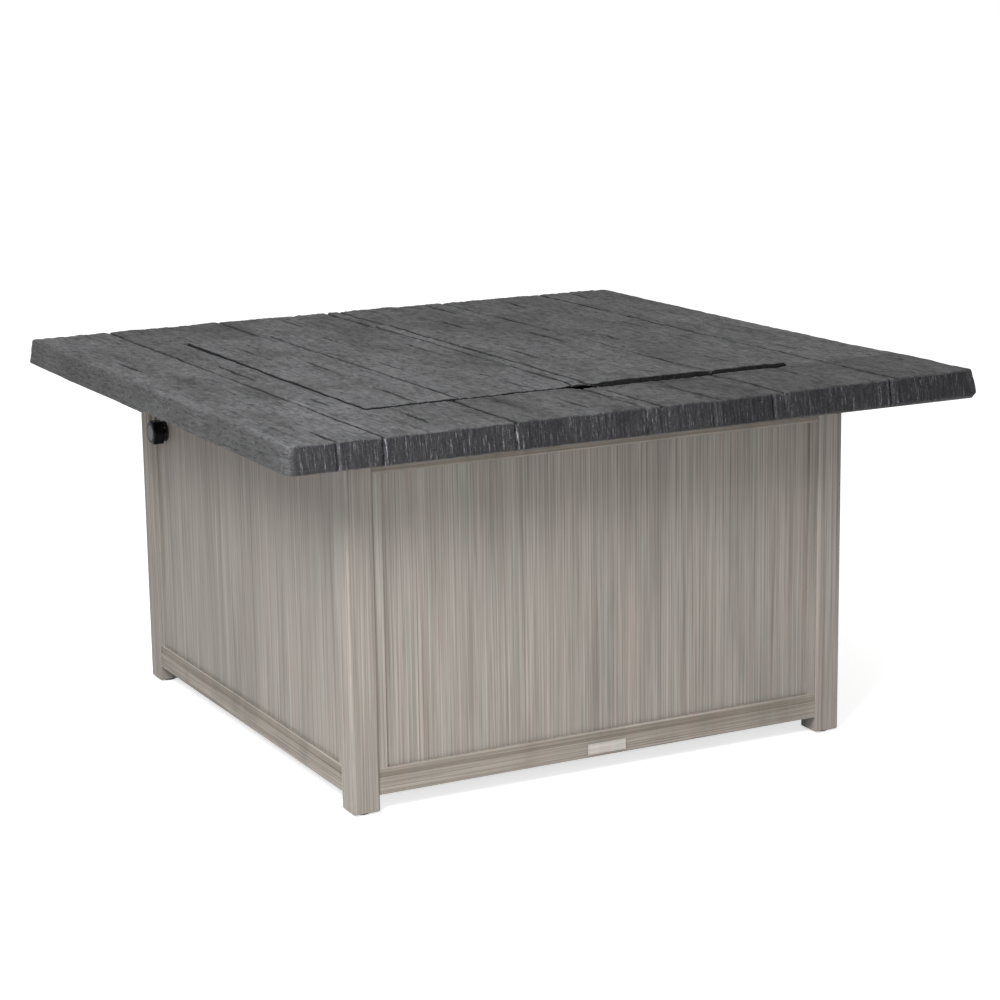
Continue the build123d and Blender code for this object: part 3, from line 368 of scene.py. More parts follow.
def make_top():
    centres = JOINTS + [c[0] for c in TOP_CRACKS] + [-SEAT_HALF, SEAT_HALF]
    xs = lines(-600, 600, 2.7, 1.0, centres, 4.8)
    ys = lines(-600, 600, 7.0, 2.5, [-SEAT_HALF, SEAT_HALF, -598, 598], 8)
    xs, ys = (with_lines(v, (-SEAT_HALF, SEAT_HALF)) for v in (xs, ys))

    def height(x, y):
        z, hollow = relief(x, y, JOINTS, TOP_CRACKS, 0.0)
        lift = 3.5 * smooth((x - 200) / 400) * smooth((-y - 150) / 450)
        return z + lip_shade(x, y) + lift, hollow

    def tone(x, y):
        marks = np.array([-457, -347, -237, -14, 14, 107, 217, 350, 442])
        front = np.array([0.92, 0.88, 0.80, 0.72, 0.98, 0.82, 0.58, 0.66, 0.70, 0.68])
        back = np.array([1.0, 0.96, 0.90, 0.98, 1.08, 0.95, 0.92, 1.0, 0.9, 0.95])
        at = np.searchsorted(marks, x)
        value = np.where(y < -BORDER, front[at], np.where(y > BORDER, back[at], 1.0))
        return value * (1 + 0.16 * n5(x / 60, y / 170) + 0.10 * n6(x / 25, y / 60))

    s, grid, (gx, gy), ring, _, _ = build_slab(
        xs, ys, TOP_HALF - FLARE, 5.0, 3.0, TOP_Z, UNDER_Z, FLARE, height, top_push, 26.0, tone)
    i0, i1 = (int(np.argmin(abs(xs - e))) for e in (-SEAT_HALF, SEAT_HALF))
    j0, j1 = (int(np.argmin(abs(ys - e))) for e in (-SEAT_HALF, SEAT_HALF))
    s.cover_grid(grid, (i0, i1, j0, j1))
    # Skirt: the lowest ring, its inner edge, and up to the underside of the skin.
    place = rim(len(xs), len(ys))
    rx, ry = gx[place[:, 0], place[:, 1]], gy[place[:, 0], place[:, 1]]
    k = (TOP_HALF - SKIRT) / np.maximum(abs(rx), abs(ry))
    inner = np.stack([rx * k, ry * k, np.full(len(rx), UNDER_Z)], 1)
    under = s.add(inner)
    s.wall(ring, under)
    up = s.add(inner * [0.99, 0.99, 0] + [0, 0, SKIN_Z])
    s.wall(under, up)
    # Seat for the cover: down to the ledge, in to the pan's opening, and round to the skin.
    hole = rim(len(xs), len(ys), i0, i1, j0, j1)
    hx, hy = gx[hole[:, 0], hole[:, 1]], gy[hole[:, 0], hole[:, 1]]
    wedge = np.where(hx < -SEAT_HALF + 0.5, 3.6 * smooth((hy - 20) / 330), 0)
    scoop = np.where(hy < -SEAT_HALF + 0.5, SCOOP * lens(hx), 0)
    edge = grid[hole[:, 0], hole[:, 1]]
    all_v = np.concatenate(s.v)
    all_v[edge, 0] -= wedge
    # The finger notch also scoops the border, its pull fading out forwards.
    border = grid[i0:i1 + 1, :j0 + 1]
    fade = np.clip(1 + (gy[i0:i1 + 1, :j0 + 1] + SEAT_HALF) / 45, 0, 1) ** 2
    all_v[border, 1] -= SCOOP * lens(gx[i0:i1 + 1, :j0 + 1]) * fade
    s.v = [all_v]

    def ring_at(half, z, cut):
        k = half / SEAT_HALF
        points = [hx * k - wedge * cut, hy * k - scoop * cut, np.full(len(hx), z)]
        # The seat's walls take strong painted shade, dark like the gap round the cover.
        return s.add(np.stack(points, 1), 0.9)

    previous = edge
    for half, z, cut in ((SEAT_HALF, TOP_Z - 4, 1), (SEAT_HALF, LEDGE_Z, 1),
                         (PAN_OPEN, LEDGE_Z, 0), (PAN_OPEN, LEDGE_UNDER, 0),
                         (TRAY_HALF, LEDGE_UNDER, 0), (TRAY_HALF, SKIN_Z, 0)):
        low = ring_at(half, z, cut)
        s.wall(previous, low, False)
        previous = low
    # The skin's underside: one face a side, between the corners of the skirt and of the tray.
    nx, ny = len(xs) - 1, len(ys) - 1
    a, b = i1 - i0, j1 - j0
    outs = [0, nx, nx + ny, 2 * nx + ny, 2 * (nx + ny)]
    ins = [0, a, a + b, 2 * a + b, 2 * (a + b)]
    for q in range(4):
        o = [int(up[n % len(up)]) for n in range(outs[q], outs[q + 1] + 1)]
        p = [int(previous[n % len(previous)]) for n in range(ins[q], ins[q + 1] + 1)]
        s.f.append(o + p[::-1])
    for n in range(-2, 3):
        rib = (n * RIB_PITCH - RIB_HALF, n * RIB_PITCH + RIB_HALF)
        spans = [(-RIB_END, -RING_IN), (RING_IN, RIB_END)]
        if abs(n) < 2:
            spans += [(-RING_IN, -RIB_START), (RIB_START, RING_IN)]
        for span in spans:
            s.box(*rib, *span, RIB_LOW, RIB_TOP)
            s.box(*span, *rib, RIB_LOW, RIB_TOP)
    for span in ((-RING_OUT, -RING_IN), (RING_IN, RING_OUT)):
        s.box(-RING_OUT, RING_OUT, *span, UNDER_Z, RIB_TOP)
    for span in ((-RING_OUT, -RING_IN), (RING_IN, RING_OUT)):
        s.box(*span, -RING_IN, RING_IN, UNDER_Z, RIB_TOP)
    for sx in (-1, 1):
        for sy in (-1, 1):
            s.drum(sx * BOSS_AT, sy * BOSS_AT, BOSS_R, UNDER_Z, RIB_TOP)
    return s.mesh("plank_top")


def lens(x):
    """Depth of the finger notch along the cover's front edge, from 0 to 1."""
    return np.sqrt(np.clip(1 - ((x + 5) / 25) ** 2, 0, 1))


def lid_push(x, y, dy, z):
    """Push of the cover's edge, with the finger notch and three chips in its front."""
    ends = np.asarray(dy, float) ** 2
    ragged = 0.35 * n1(x / 4 + 5, z / 20) + 0.5 * n2(x / 14 + 5, 0.2) + 0.5 * n3(x / 60, 0.5) - 0.7
    front = ragged - 18 * lens(x)
    for at, width, depth in ((-88, 2.2, 1.4), (-290, 2.2, 1.6), (150, 2.0, 1.4)):
        front = front - depth * np.exp(-((x - at) / width) ** 2)
    side = 0.5 * n2(y / 60 + 3, z / 15) + 0.5 * n3(y / 160, 0.4) - 0.6
    side = side - np.where(np.asarray(x) < 0, 3.2 * smooth((y - 20) / 330), 0)
    return ends * np.where(np.asarray(y) < 0, front, ragged) + (1 - ends) * side


def make_lid():
    joints = [j for j in JOINTS if abs(j) < 300]
    joints[0] = -226.0
    centres = joints + [c[0] for c in LID_CRACKS]
    half, arris = LID_HALF - 0.6, 1.6
    xs = np.array(lines(-half + arris, half - arris, 2.6, 0.9, centres, 5.5))
    ys = np.array(lines(-half + arris, half - arris, 7.0, 2.0, [-380, 380], 14))

    def height(x, y):
        z, hollow = relief(x, y, joints, LID_CRACKS, 21.0)
        z += 2.4 * smooth((x - 10) / 30) * smooth((-290 - y) / 90) - 0.8 * smooth((-x - 10) / 40)
        return z - 2.0 * lens(x) * smooth((-345 - y) / 20), hollow

    def tone(x, y):
        at = np.searchsorted(np.array(joints), x)
        value = np.array([1.02, 0.98, 1.12, 0.94, 0.9])[at]
        return value * (1 + 0.16 * n5(x / 60 + 9, y / 170) + 0.10 * n6(x / 25 + 4, y / 60))

    # The cover's edge takes painted shade, dark like the gap round it.
    s, grid, _, ring, (lx, ly), (dx, dy) = build_slab(
        xs, ys, half, 3.0, arris, LID_TOP, LID_LOW, 0.0,
        height, lid_push, 42.0, tone, edge_shade=1.0)
    s.cover_grid(grid)
    inner = np.stack([lx - 5 * dx, ly - 5 * dy, np.full(len(lx), LID_LOW)], 1)
    under = s.add(inner)
    s.wall(ring, under)
    up = s.add(inner * [1, 1, 0] + [0, 0, LID_SKIN])
    s.wall(under, up)
    s.f.append(up[::-1].tolist())
    for n in (-1.5, -0.5, 0.5, 1.5):
        rib = (n * LID_RIB_PITCH - LID_RIB_HALF, n * LID_RIB_PITCH + LID_RIB_HALF)
        s.box(*rib, -LID_RIB_FRONT, LID_RIB_END, LID_RIB_LOW, LID_RIB_TOP)
        s.box(-LID_RIB_END, LID_RIB_END, *rib, LID_RIB_LOW, LID_RIB_TOP)
    for sx in (-1, 1):
        for sy in (-1, 1):
            s.drum(sx * LID_BOSS_AT, sy * LID_BOSS_AT, BOSS_R, LID_LOW, LID_RIB_TOP)
    return s.mesh("plank_cover")


# ------------------------------------------------------------------ loose rock
def make_rocks():
    """A bed of broken lava rock in the pan, above the grate."""
    rng = np.random.default_rng(42)
    ball = bmesh.new()
    bmesh.ops.create_icosphere(ball, subdivisions=3, radius=1.0)
    shell = np.array([v.co for v in ball.verts])
    faces = np.array([[v.index for v in f.verts] for f in ball.faces])
    ball.free()
    verts, tris = [], []
    count = int(2 * BED_HALF / ROCK_PITCH)
    for i in range(count):
        for j in range(count):
            radius = rng.uniform(12.0, 16.0)
            size = radius * np.array([1, rng.uniform(0.75, 1.05), rng.uniform(0.6, 0.8)])
            heading = Matrix.Rotation(rng.uniform(0, 6.28), 3, "Z")
            spin = heading @ Matrix.Rotation(rng.normal(0, 0.25), 3, "X")
            p = shell.copy()
            for _ in range(7):
                # Flat breaks: press the ball against random planes.
                d = rng.normal(size=3)
                d /= np.linalg.norm(d)
                over = np.clip(p @ d - rng.uniform(0.6, 0.85), 0, None)
                p -= over[:, None] * d * 0.92
            a, b = rng.uniform(0, 100, 2)
            rough = 0.20 * n1(p[:, 0] * 1.9 + a, p[:, 1] * 1.9 + p[:, 2] * 1.6 + b)
            rough += 0.10 * n2(p[:, 0] * 4.3 + b, p[:, 1] * 4.3 - p[:, 2] * 3.9 + a)
            rough += 0.05 * n3(p[:, 0] * 9 + a, p[:, 2] * 9 - p[:, 1] * 8 + b)
            p *= (1 + rough)[:, None]
            p = (p * size) @ np.array(spin).T
            x = (i + 0.5 - count / 2) * ROCK_PITCH + rng.uniform(-4, 4)
            y = (j + 0.5 - count / 2) * ROCK_PITCH + rng.uniform(-4, 4)
            z = BED_LOW - p[:, 2].min() + rng.uniform(0, 5)
            p += [x, y, z]
            p[:, 2] = np.minimum(p[:, 2], BED_TOP)
            tris.append(faces + len(verts) * len(shell))
            verts.append(p)
    me = bpy.data.meshes.new("rock_bed")
    me.from_pydata((np.concatenate(verts) * MM).tolist(), [], np.concatenate(tris).tolist())
    return shade(me, 34)


# ------------------------------------------------------------------ materials
class Look:
    """A node material under construction. Uniform values go on the shader's own sockets."""

    def __init__(self, name, color, roughness, metallic=0.0, coat=0.0, specular=0.5):
        self.m = bpy.data.materials.new(name)
        self.m.use_nodes = True
        self.t = self.m.node_tree
        self.b = self.t.nodes["Principled BSDF"]
        self.set(self.b, "Base Color", (*color, 1))
        self.set(self.b, "Roughness", roughness)
        self.set(self.b, "Metallic", metallic)
        self.set(self.b, "Coat Weight", coat)
        self.set(self.b, "Specular IOR Level", specular)
        self.coords = self.node("ShaderNodeTexCoord")

    def set(self, node, socket, value):
        node.inputs[socket].default_value = value

    def node(self, kind, **values):
        n = self.t.nodes.new(kind)
        for k, v in values.items():
            setattr(n, k, v)
        return n

    def link(self, a, b):
        self.t.links.new(a, b)

    def noise(self, scale, detail=3.0, rough=0.55, at=(0, 0, 0)):
        """Noise with a cell count per metre on each axis."""
        place = self.node("ShaderNodeMapping")
        self.set(place, "Scale", scale)
        self.set(place, "Location", at)
        self.link(self.coords.outputs["Object"], place.inputs["Vector"])
        n = self.node("ShaderNodeTexNoise")
        self.set(n, "Scale", 1.0)
        self.set(n, "Detail", detail)
        self.set(n, "Roughness", rough)
        self.link(place.outputs["Vector"], n.inputs["Vector"])
        return n.outputs["Fac"]

    def ramp(self, value, stops):
        """Colour or grey by value; stops are (place, grey or colour)."""
        r = self.node("ShaderNodeValToRGB")
        e = r.color_ramp.elements
        while len(e) < len(stops):
            e.new(0.5)
        for element, (at, c) in zip(e, stops):
            element.position = at
            element.color = (c, c, c, 1) if isinstance(c, (int, float)) else (*c, 1)
        self.link(value, r.inputs["Fac"])
        return r.outputs["Color"]

    def mix(self, kind, a, b, factor=None):
        """Mix of two colours; with no factor the second has its whole effect."""
        m = self.node("ShaderNodeMix", data_type="RGBA", blend_type=kind)
        m.inputs[0].default_value = 1.0
        if factor is not None:
            self.link(factor, m.inputs[0])
        self.link(a, m.inputs[6])
        self.link(b, m.inputs[7])
        return m.outputs[2]

    def math(self, op, a, b=0.0):
        m = self.node("ShaderNodeMath", operation=op)
        for socket, c in zip(m.inputs, (a, b)):
            if isinstance(c, (int, float)):
                socket.default_value = c
            else:
                self.link(c, socket)
        return m.outputs[0]

    def color(self, c):
        self.link(c, self.b.inputs["Base Color"])

    def rough(self, value):
        self.link(value, self.b.inputs["Roughness"])

    def bump(self, height, distance, strength, under=None):
        b = self.node("ShaderNodeBump")
        self.set(b, "Strength", strength)
        self.set(b, "Distance", distance)
        self.link(height, b.inputs["Height"])
        if under is not None:
            self.link(under, b.inputs["Normal"])
        return b.outputs["Normal"]

    def normal(self, n):
        self.link(n, self.b.inputs["Normal"])


def paint_look(name, grain, dark, mid, light, broad=0.2, turned=None):
    """Weathered paint brushed along one axis: grain is 0, 1 or 2 for x, y or z.

    turned is the axis of the brushing on a frame's level strips.
    """
    look = Look(name, mid, 0.55, specular=0.3)

    def streaks(axis):
        def scale(across, along):
            return tuple(along if k == axis else across for k in range(3))
        fine = look.noise(scale(640, 3.4), 3, 0.7)
        middle = look.noise(scale(290, 2.2), 3, 0.62, (7, 3, 1))
        wide = look.noise(scale(75, 1.3), 3, 0.6, (2, 5, 9))
        both = look.math("ADD", look.math("MULTIPLY", fine, 0.44),
                         look.math("MULTIPLY", middle, 0.42))
        return look.math("ADD", both, look.math("MULTIPLY", wide, 0.14))

    streak = streaks(grain)
    if turned is not None:
        flat = look.node("ShaderNodeMix", data_type="FLOAT")
        split = look.node("ShaderNodeSeparateXYZ")
        look.link(look.coords.outputs["Object"], split.inputs[0])
        high = look.math("ABSOLUTE", look.math("SUBTRACT", split.outputs["Z"], PANEL_MID_Z))
        look.link(look.math("GREATER_THAN", high, STRIP_Z), flat.inputs[0])
        look.link(streak, flat.inputs[2])
        look.link(streaks(turned), flat.inputs[3])
        streak = flat.outputs[0]
    tone = look.ramp(streak, [(0.34, dark), (0.5, mid), (0.66, light)])
    patch = look.noise((16, 16, 2.2), 4, 0.62, (4, 1, 6))
    shades = look.ramp(patch, [(0.30, 1 - broad), (0.52, 1.0), (0.72, 1.04)])
    tone = look.mix("MULTIPLY", tone, shades)
    if turned is not None:
        # Painted highlight: the inner edge of a level strip is paler, as if catching light; the
        # rest of it is darker.
        inner = look.math("MULTIPLY", look.math("SUBTRACT", high, STRIP_Z), 50.0)
        edge_highlight_bands = look.ramp(inner, [(0.0, (1, 1, 1)), (0.02, (1.28, 1.26, 1.23)),
                                  (0.09, (1.20, 1.18, 1.14)), (0.16, (0.76, 0.73, 0.68))])
        tone = look.mix("MULTIPLY", tone, edge_highlight_bands)
    warm = look.noise((130, 130, 2.5), 3, 0.6, (11, 2, 3))
    hues = look.ramp(warm, [(0.35, (0.98, 1.0, 0.985)), (0.5, (1, 1, 1)),
                            (0.68, (1.03, 0.965, 0.94))])
    tone = look.mix("MULTIPLY", tone, hues)
    look.color(tone)
    look.rough(look.ramp(streak, [(0.3, 0.66), (0.7, 0.46)]))
    look.normal(look.bump(streak, 0.0005, 0.3))
    return look


def worn_edge_highlight(look, edge):
    """Lightens a post's outer corner edge, partly painted highlight on the rounded corner and
    partly worn paint; edge is half the base's width, in metres.
    """
    split = look.node("ShaderNodeSeparateXYZ")
    look.link(look.coords.outputs["Object"], split.inputs[0])
    across = [look.math("ABSOLUTE", split.outputs[axis]) for axis in ("X", "Y")]
    away = look.math("SUBTRACT", 2 * edge, look.math("ADD", *across))
    uneven = look.noise((20, 20, 14), 3, 0.6, (1, 8, 3))
    away = look.math("ADD", away, look.math("MULTIPLY", uneven, 0.004))
    corner_highlight = look.ramp(look.math("MULTIPLY", away, 100.0), [(0.34, 1.28), (0.5, 1.0)])
    color = look.b.inputs["Base Color"].links[0].from_socket
    look.color(look.mix("MULTIPLY", color, corner_highlight))
    return look


def cast_look():
    """Charcoal coat over cast wood: painted shade in the joints and cracks, and darker plank ends
    with painted highlights on their ridges.
    """
    look = Look("cast_top", (0.1, 0.1, 0.103), 0.62, specular=0.3)

    def value(name):
        return look.node("ShaderNodeAttribute", attribute_name=name).outputs["Fac"]

    fine = look.noise((330, 70, 600), 3, 0.65)
    pores = look.noise((135, 42, 320), 4, 0.68, (3, 7, 1))
    ripple = look.noise((62, 130, 200), 4, 0.65, (2, 2, 5))
    flow = look.noise((75, 6, 220), 4, 0.65, (1, 2, 8))
    patch = look.noise((9, 4.5, 9), 5, 0.68, (6, 1, 4))
    streak = look.math("ADD", look.math("MULTIPLY", pores, 0.65),
                       look.math("MULTIPLY", flow, 0.35))
    tone = look.ramp(streak, [(0.37, (0.048, 0.0485, 0.0500)), (0.48, (0.105, 0.1055, 0.1085)),
                              (0.62, (0.139, 0.1395, 0.1435))])
    for noise, stops in ((patch, [(0.36, 0.68), (0.5, 1.0), (0.7, 1.10)]),
                         (fine, [(0.34, 0.72), (0.55, 1.04)]),
                         (ripple, [(0.38, 0.72), (0.5, 1.0), (0.62, 1.06)])):
        tone = look.mix("MULTIPLY", tone, look.ramp(noise, stops))
    # The ends of the planks: a darker tone streaked with painted highlights, pale bluish glints on
    # the striations.
    ends = look.noise((560, 60, 38), 5, 0.72, (5, 5, 2))
    end_tone_and_glints = look.ramp(ends, [(0.38, (0.013, 0.013, 0.015)), (0.54, (0.029, 0.028, 0.032)),
                                (0.62, (0.080, 0.078, 0.088)), (0.69, (0.30, 0.29, 0.33))])
    tone = look.mix("MIX", tone, end_tone_and_glints, value("end_grain"))
    # Painted shade: the joints, cracks, the seat's walls and the cover's edge are darkened by the
    # attribute the slabs carry.
    tone = look.mix("MULTIPLY", tone, look.ramp(value("hollow"), [(0.10, 1.0), (0.80, 0.20)]))
    # The tone attribute holds the planks' tones and, on the rim, the painted side shade and the
    # painted notch highlights.
    bright = look.node("ShaderNodeCombineColor")
    for k in range(3):
        look.link(value("tone"), bright.inputs[k])
    look.color(look.mix("MULTIPLY", tone, bright.outputs[0]))
    look.rough(look.ramp(streak, [(0.3, 0.74), (0.7, 0.48)]))
    rough_skin = look.bump(pores, 0.0045, 0.9)
    rough_skin = look.bump(ripple, 0.0040, 0.8, rough_skin)
    look.normal(look.bump(fine, 0.0014, 0.7, rough_skin))
    return look.m


def metal_look(name, color, roughness, grain=(300, 300, 20)):
    """Bare or plated metal with a fine directional finish and slight wear."""
    look = Look(name, color, roughness, metallic=1.0)
    fine = look.noise(grain, 4, 0.6)
    wear = look.noise((25, 25, 25), 3, 0.55, (4, 4, 4))
    low, high = tuple(c * 0.82 for c in color), tuple(min(1, c * 1.1) for c in color)
    look.color(look.ramp(wear, [(0.3, low), (0.7, high)]))
    look.rough(look.ramp(fine, [(0.25, max(0.05, roughness - 0.1)),
                                (0.75, min(1, roughness + 0.12))]))
    look.normal(look.bump(fine, 0.0002, 0.4))
    return look.m


def plastic_look(name, color, roughness, coat=0.0, grit=900.0, depth=0.0001, specular=0.5):
    """Moulded plastic or rubber with a faint grain."""
    look = Look(name, color, roughness, coat=coat, specular=specular)
    grain = look.noise((grit, grit, grit), 2, 0.5)
    wear = look.noise((60, 60, 60), 3, 0.5, (2, 2, 2))
    low, high = tuple(c * 0.85 for c in color), tuple(c * 1.2 for c in color)
    look.color(look.ramp(wear, [(0.3, low), (0.7, high)]))
    look.rough(look.ramp(wear, [(0.3, max(0.03, roughness - 0.04)), (0.7, roughness + 0.05)]))
    look.normal(look.bump(grain, depth, 0.3))
    return look.m


def face_look():
    """Grey disc of the knob with a black rim, by distance from the knob's own axis along x."""
    look = Look("knob_face", (0.11, 0.108, 0.108), 0.42, metallic=0.2, specular=0.35)
    centre = look.node("ShaderNodeMapping")
    look.set(centre, "Location", tuple(-c for c in KNOB_CENTRE))
    look.link(look.coords.outputs["Object"], centre.inputs["Vector"])
    flat = look.node("ShaderNodeMapping")
    look.set(flat, "Scale", (0, 1, 1))
    look.link(centre.outputs["Vector"], flat.inputs["Vector"])
    away = look.node("ShaderNodeVectorMath", operation="LENGTH")
    look.link(flat.outputs["Vector"], away.inputs[0])
    grain = look.noise((20, 700, 120), 3, 0.6)
    tone = look.ramp(grain, [(0.3, 0.10), (0.7, 0.17)])
    # The ramp runs over 20 mm, and the rim is the outer tenth or so of the disc.
    ring = look.ramp(look.math("MULTIPLY", away.outputs["Value"], 50.0),
                     [(KNOB_DISC * 0.84 / 20, 1.0), (KNOB_DISC * 0.9 / 20, 0.04)])
    look.color(look.mix("MULTIPLY", tone, ring))
    look.normal(look.bump(grain, 0.0001, 0.4))
    return look.m


def rock_look():
    """Dark reddish lava rock with pores."""
    look = Look("lava_rock", (0.1, 0.05, 0.04), 0.9)
    patch = look.noise((40, 40, 40), 4, 0.6)
    pores = look.node("ShaderNodeTexVoronoi")
    look.set(pores, "Scale", 420.0)
    look.link(look.coords.outputs["Object"], pores.inputs["Vector"])
    tone = look.ramp(patch, [(0.3, (0.022, 0.018, 0.017)), (0.5, (0.060, 0.034, 0.028)),
                             (0.72, (0.115, 0.058, 0.044))])
    pits = look.ramp(pores.outputs["Distance"], [(0.05, 0.35), (0.4, 1.0)])
    look.color(look.mix("MULTIPLY", tone, pits))
    look.normal(look.bump(pores.outputs["Distance"], 0.0012, 0.8))
    return look.m


corners = [nodes["knob_cap"].matrix_world @ Vector(c) for c in nodes["knob_cap"].bound_box]
KNOB_CENTRE = [sum(c[k] for c in corners) / 8 for k in range(3)]
KNOB_DISC = 1000 * (max(c[1] for c in corners) - KNOB_CENTRE[1])
PAINT = [(0.120, 0.106, 0.092), (0.226, 0.206, 0.185), (0.326, 0.305, 0.280)]
RAIL_PAINT = [(0.105, 0.091, 0.076), (0.215, 0.192, 0.166), (0.335, 0.310, 0.280)]
PLATE_PAINT = [(0.27, 0.245, 0.225), (0.40, 0.372, 0.345), (0.52, 0.49, 0.46)]
# A panel's middle and how far from it the level strips begin, and half the base, in metres.
STRIP_Z, PANEL_MID_Z, BASE_HALF = 0.2345, 0.307, 0.454
looks = {
    "upright": worn_edge_highlight(paint_look("paint_post", 2, *PAINT), BASE_HALF).m,
    "panel": paint_look("paint_panel", 2, *PAINT, broad=0.16).m,
    "strips_x": paint_look("paint_strips_x", 2, *PAINT, turned=0).m,
    "strips_y": paint_look("paint_strips_y", 2, *PAINT, turned=1).m,
    "along_x": paint_look("paint_along_x", 0, *RAIL_PAINT).m,
    "along_y": paint_look("paint_along_y", 1, *RAIL_PAINT).m,
    "cast": cast_look(),
    "rock": rock_look(),
    "pad": plastic_look("cover_pad", (0.03, 0.03, 0.03), 0.75),
    "zinc": metal_look("fixings", (0.55, 0.55, 0.56), 0.38),
    "stainless": metal_look("stainless", (0.56, 0.55, 0.53), 0.3, grain=(30, 600, 600)),
    "sheet": metal_look("sheet_steel", (0.48, 0.49, 0.50), 0.45, grain=(70, 70, 70)),
    "brass": metal_look("brass", (0.42, 0.30, 0.14), 0.42),
    "tubing": metal_look("gas_tubing", (0.68, 0.68, 0.69), 0.35),
    "ceramic": plastic_look("ceramic", (0.80, 0.78, 0.72), 0.3, coat=0.4),
    "lead": plastic_look("lead_insulation", (0.28, 0.04, 0.03), 0.5),
    "gloss": plastic_look("knob_black", (0.002, 0.002, 0.0022), 0.22,
                          grit=300.0, depth=0.00003, specular=0.16),
    "matt": plastic_look("bezel_black", (0.012, 0.012, 0.0125), 0.7, specular=0.2),
    "disc": face_look(),
    "black": plastic_look("black_plastic", (0.018, 0.018, 0.018), 0.5),
    "plate": paint_look("plate_metal", 0, *PLATE_PAINT).m,
    "stem_painted_shade": plastic_look("stem_painted_shade", (0.015, 0.015, 0.015), 0.6, specular=0.2),
}
BY_SLOT = {"cast_top": "cast", "cover_pad": "pad", "fixings": "zinc", "stainless": "stainless",
           "sheet_steel": "sheet", "brass": "brass", "gas_tubing": "tubing", "lava_rock": "rock",
           "ceramic": "ceramic", "lead_insulation": "lead", "knob_black": "gloss",
           "knob_face": "disc", "black_plastic": "black", "plate_metal": "plate",
           "frame_paint": "upright", "panel_paint": "panel"}
slot_of = {p["node"]: p["material_slot"] for p in frame["record"]["subparts"]}
for name, obj in nodes.items():
    key = BY_SLOT[slot_of[name]]
    if "_rail_" in name:
        key = "along_x" if name.endswith(("front", "back")) else "along_y"
    elif name.startswith(("panel_lip", "door_frame")):
        key = "strips_y" if name.endswith(("left", "right")) else "strips_x"
    # The valve stem is made near black: painted shade where it sits behind the knob.
    elif name == "valve_stem":
        key = "stem_painted_shade"
    elif name == "knob_bezel":
        key = "matt"
    obj.data.materials.clear()
    obj.data.materials.append(looks[key])
    if key in ("strips_x", "strips_y", "along_x", "along_y", "plate"):
        soft = obj.modifiers.new("soft_edges", "BEVEL")
        soft.width, soft.segments = 0.0008, 2
        soft.limit_method, soft.angle_limit = "ANGLE", math.radians(50)


# ------------------------------------------------------------------ visual pieces
def show(name, mesh, look, body, slot, *stands_for):
    obj = bpy.data.objects.new(name, mesh)
    bpy.context.scene.collection.objects.link(obj)
    mesh.materials.append(looks[look])
    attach(obj, body)
    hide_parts(*stands_for)
    return obj


# Their looks and bodies, the material slot, and the CAD node that each stands for.
show("plank_top", make_top(), "cast", "base", "cast_top", "table_top")
show("plank_cover", make_lid(), "cast", "cover", "cast_top", "burner_cover")
show("rock_bed", make_rocks(), "rock", "base", "lava_rock", "lava_rock")

# The valve's return spring, which shortens against the chamber's end as the plunger is pushed in,
# gets a mesh of its own.
coil = nodes["valve_spring"].data.copy()
coil.transform(nodes["valve_spring"].matrix_world)
coil.materials.clear()
spring = show("return_spring", coil, "stainless", "base", "stainless", "valve_spring")
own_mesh(spring)

# ------------------------------------------------------------------ floor, light, camera
WHITE = (1, 1, 1, 1)
SKY_LIGHT = 0.5       # strength of the world as a light; the camera sees it white
FLOOR_HALF, FLOOR_GREY, FLOOR_GLOW = 30.0, 0.92, 0.62
scene = bpy.context.scene
scene.view_settings.view_transform = "Standard"
world = bpy.data.worlds.new("studio")
scene.world = world
world.use_nodes = True
tree = world.node_tree
lit = tree.nodes["Background"]
lit.inputs["Strength"].default_value = SKY_LIGHT
shown = tree.nodes.new("ShaderNodeBackground")
pick = tree.nodes.new("ShaderNodeMixShader")
path = tree.nodes.new("ShaderNodeLightPath")
for background in (lit, shown):
    background.inputs["Color"].default_value = WHITE
tree.links.new(path.outputs["Is Camera Ray"], pick.inputs[0])
tree.links.new(lit.outputs[0], pick.inputs[1])
tree.links.new(shown.outputs[0], pick.inputs[2])
tree.links.new(pick.outputs[0], tree.nodes["World Output"].inputs["Surface"])

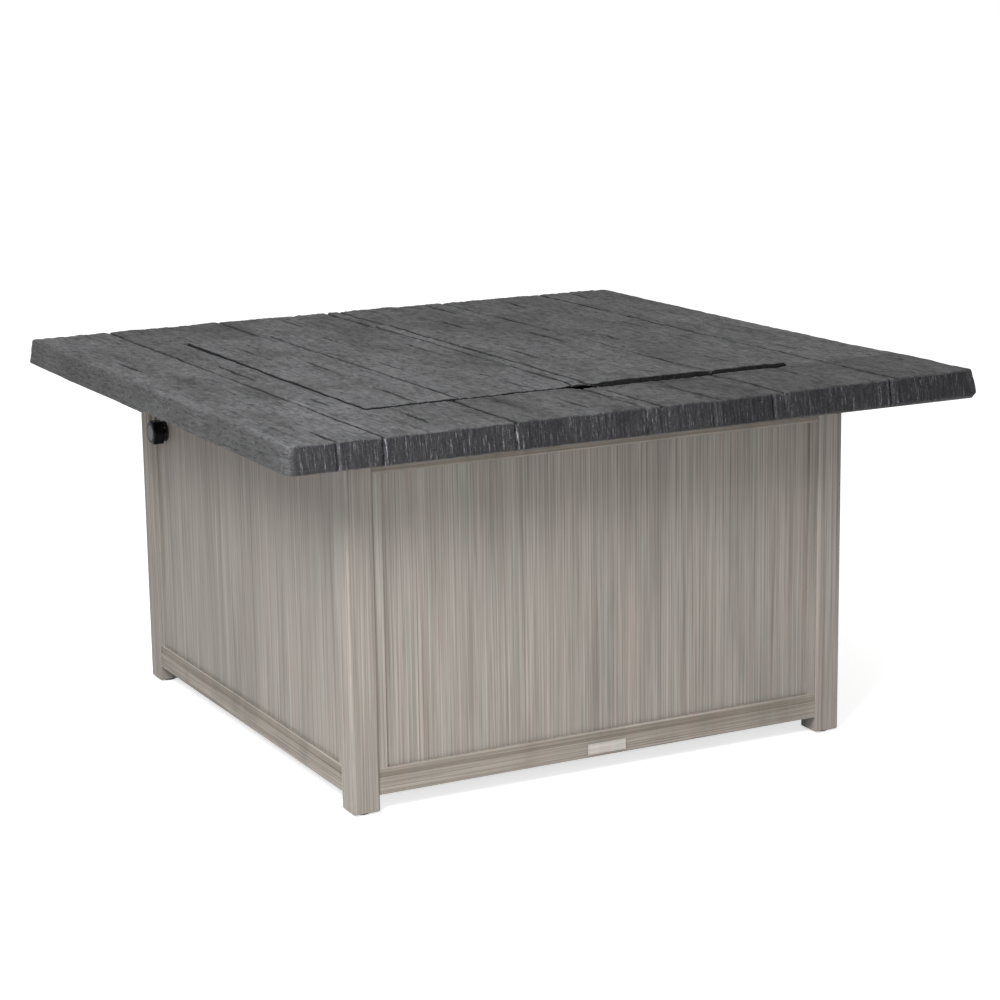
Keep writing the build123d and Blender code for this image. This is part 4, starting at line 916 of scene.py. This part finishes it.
floor_mesh = bpy.data.meshes.new("floor")
floor_mesh.from_pydata([(sx * FLOOR_HALF, sy * FLOOR_HALF, 0)
                        for sx, sy in ((-1, -1), (1, -1), (1, 1), (-1, 1))], [], [(0, 1, 2, 3)])
floor = bpy.data.objects.new("floor", floor_mesh)
scene.collection.objects.link(floor)
floor_look = Look("floor", (FLOOR_GREY,) * 3, 0.9, specular=0.0)
floor_look.set(floor_look.b, "Emission Color", WHITE)
seen = floor_look.node("ShaderNodeLightPath")
floor_look.link(floor_look.math("MULTIPLY", seen.outputs["Is Camera Ray"], FLOOR_GLOW),
                floor_look.b.inputs["Emission Strength"])
floor_mesh.materials.append(floor_look.m)


def area(name, at, target, size, power):
    """Soft white rectangular light that points at a target."""
    light = bpy.data.lights.new(name, "AREA")
    light.shape = "RECTANGLE"
    light.size, light.size_y = size
    light.energy = power
    obj = bpy.data.objects.new(name, light)
    scene.collection.objects.link(obj)
    obj.location = at
    obj.rotation_euler = (Vector(target) - Vector(at)).to_track_quat("-Z", "Y").to_euler()


area("key", (-1.95, -1.8, 2.2), (-0.25, 0, 0.5), (1.2, 1.2), 118)
area("front_fill", (-0.9, -3.6, 1.0), (0, 0, 0.35), (2.0, 1.4), 22)

# The camera was solved from the straight edges in the photo.
AZIMUTH, ELEVATION, ROLL = math.radians(26.85), math.radians(12.22), math.radians(-0.951)
STANDS_AT, LENS, SHIFT = (-1.9868, -3.9078, 1.3300), 91.99, (0.0273, -0.0056)
look_dir = Vector((math.sin(AZIMUTH) * math.cos(ELEVATION),
                   math.cos(AZIMUTH) * math.cos(ELEVATION), -math.sin(ELEVATION)))
right = Vector((math.cos(AZIMUTH), -math.sin(AZIMUTH), 0))
up = right.cross(look_dir)
side = math.cos(ROLL) * right + math.sin(ROLL) * up
head = -math.sin(ROLL) * right + math.cos(ROLL) * up
camera_data = bpy.data.cameras.new("camera")
camera = bpy.data.objects.new("camera", camera_data)
scene.collection.objects.link(camera)
camera_data.sensor_width = 36.0
camera_data.lens = LENS
camera_data.shift_x, camera_data.shift_y = SHIFT
camera_data.clip_start, camera_data.clip_end = 0.1, 60.0
turn = Matrix((side, head, -look_dir)).transposed().to_4x4()
camera.matrix_world = Matrix.Translation(STANDS_AT) @ turn
scene.camera = camera
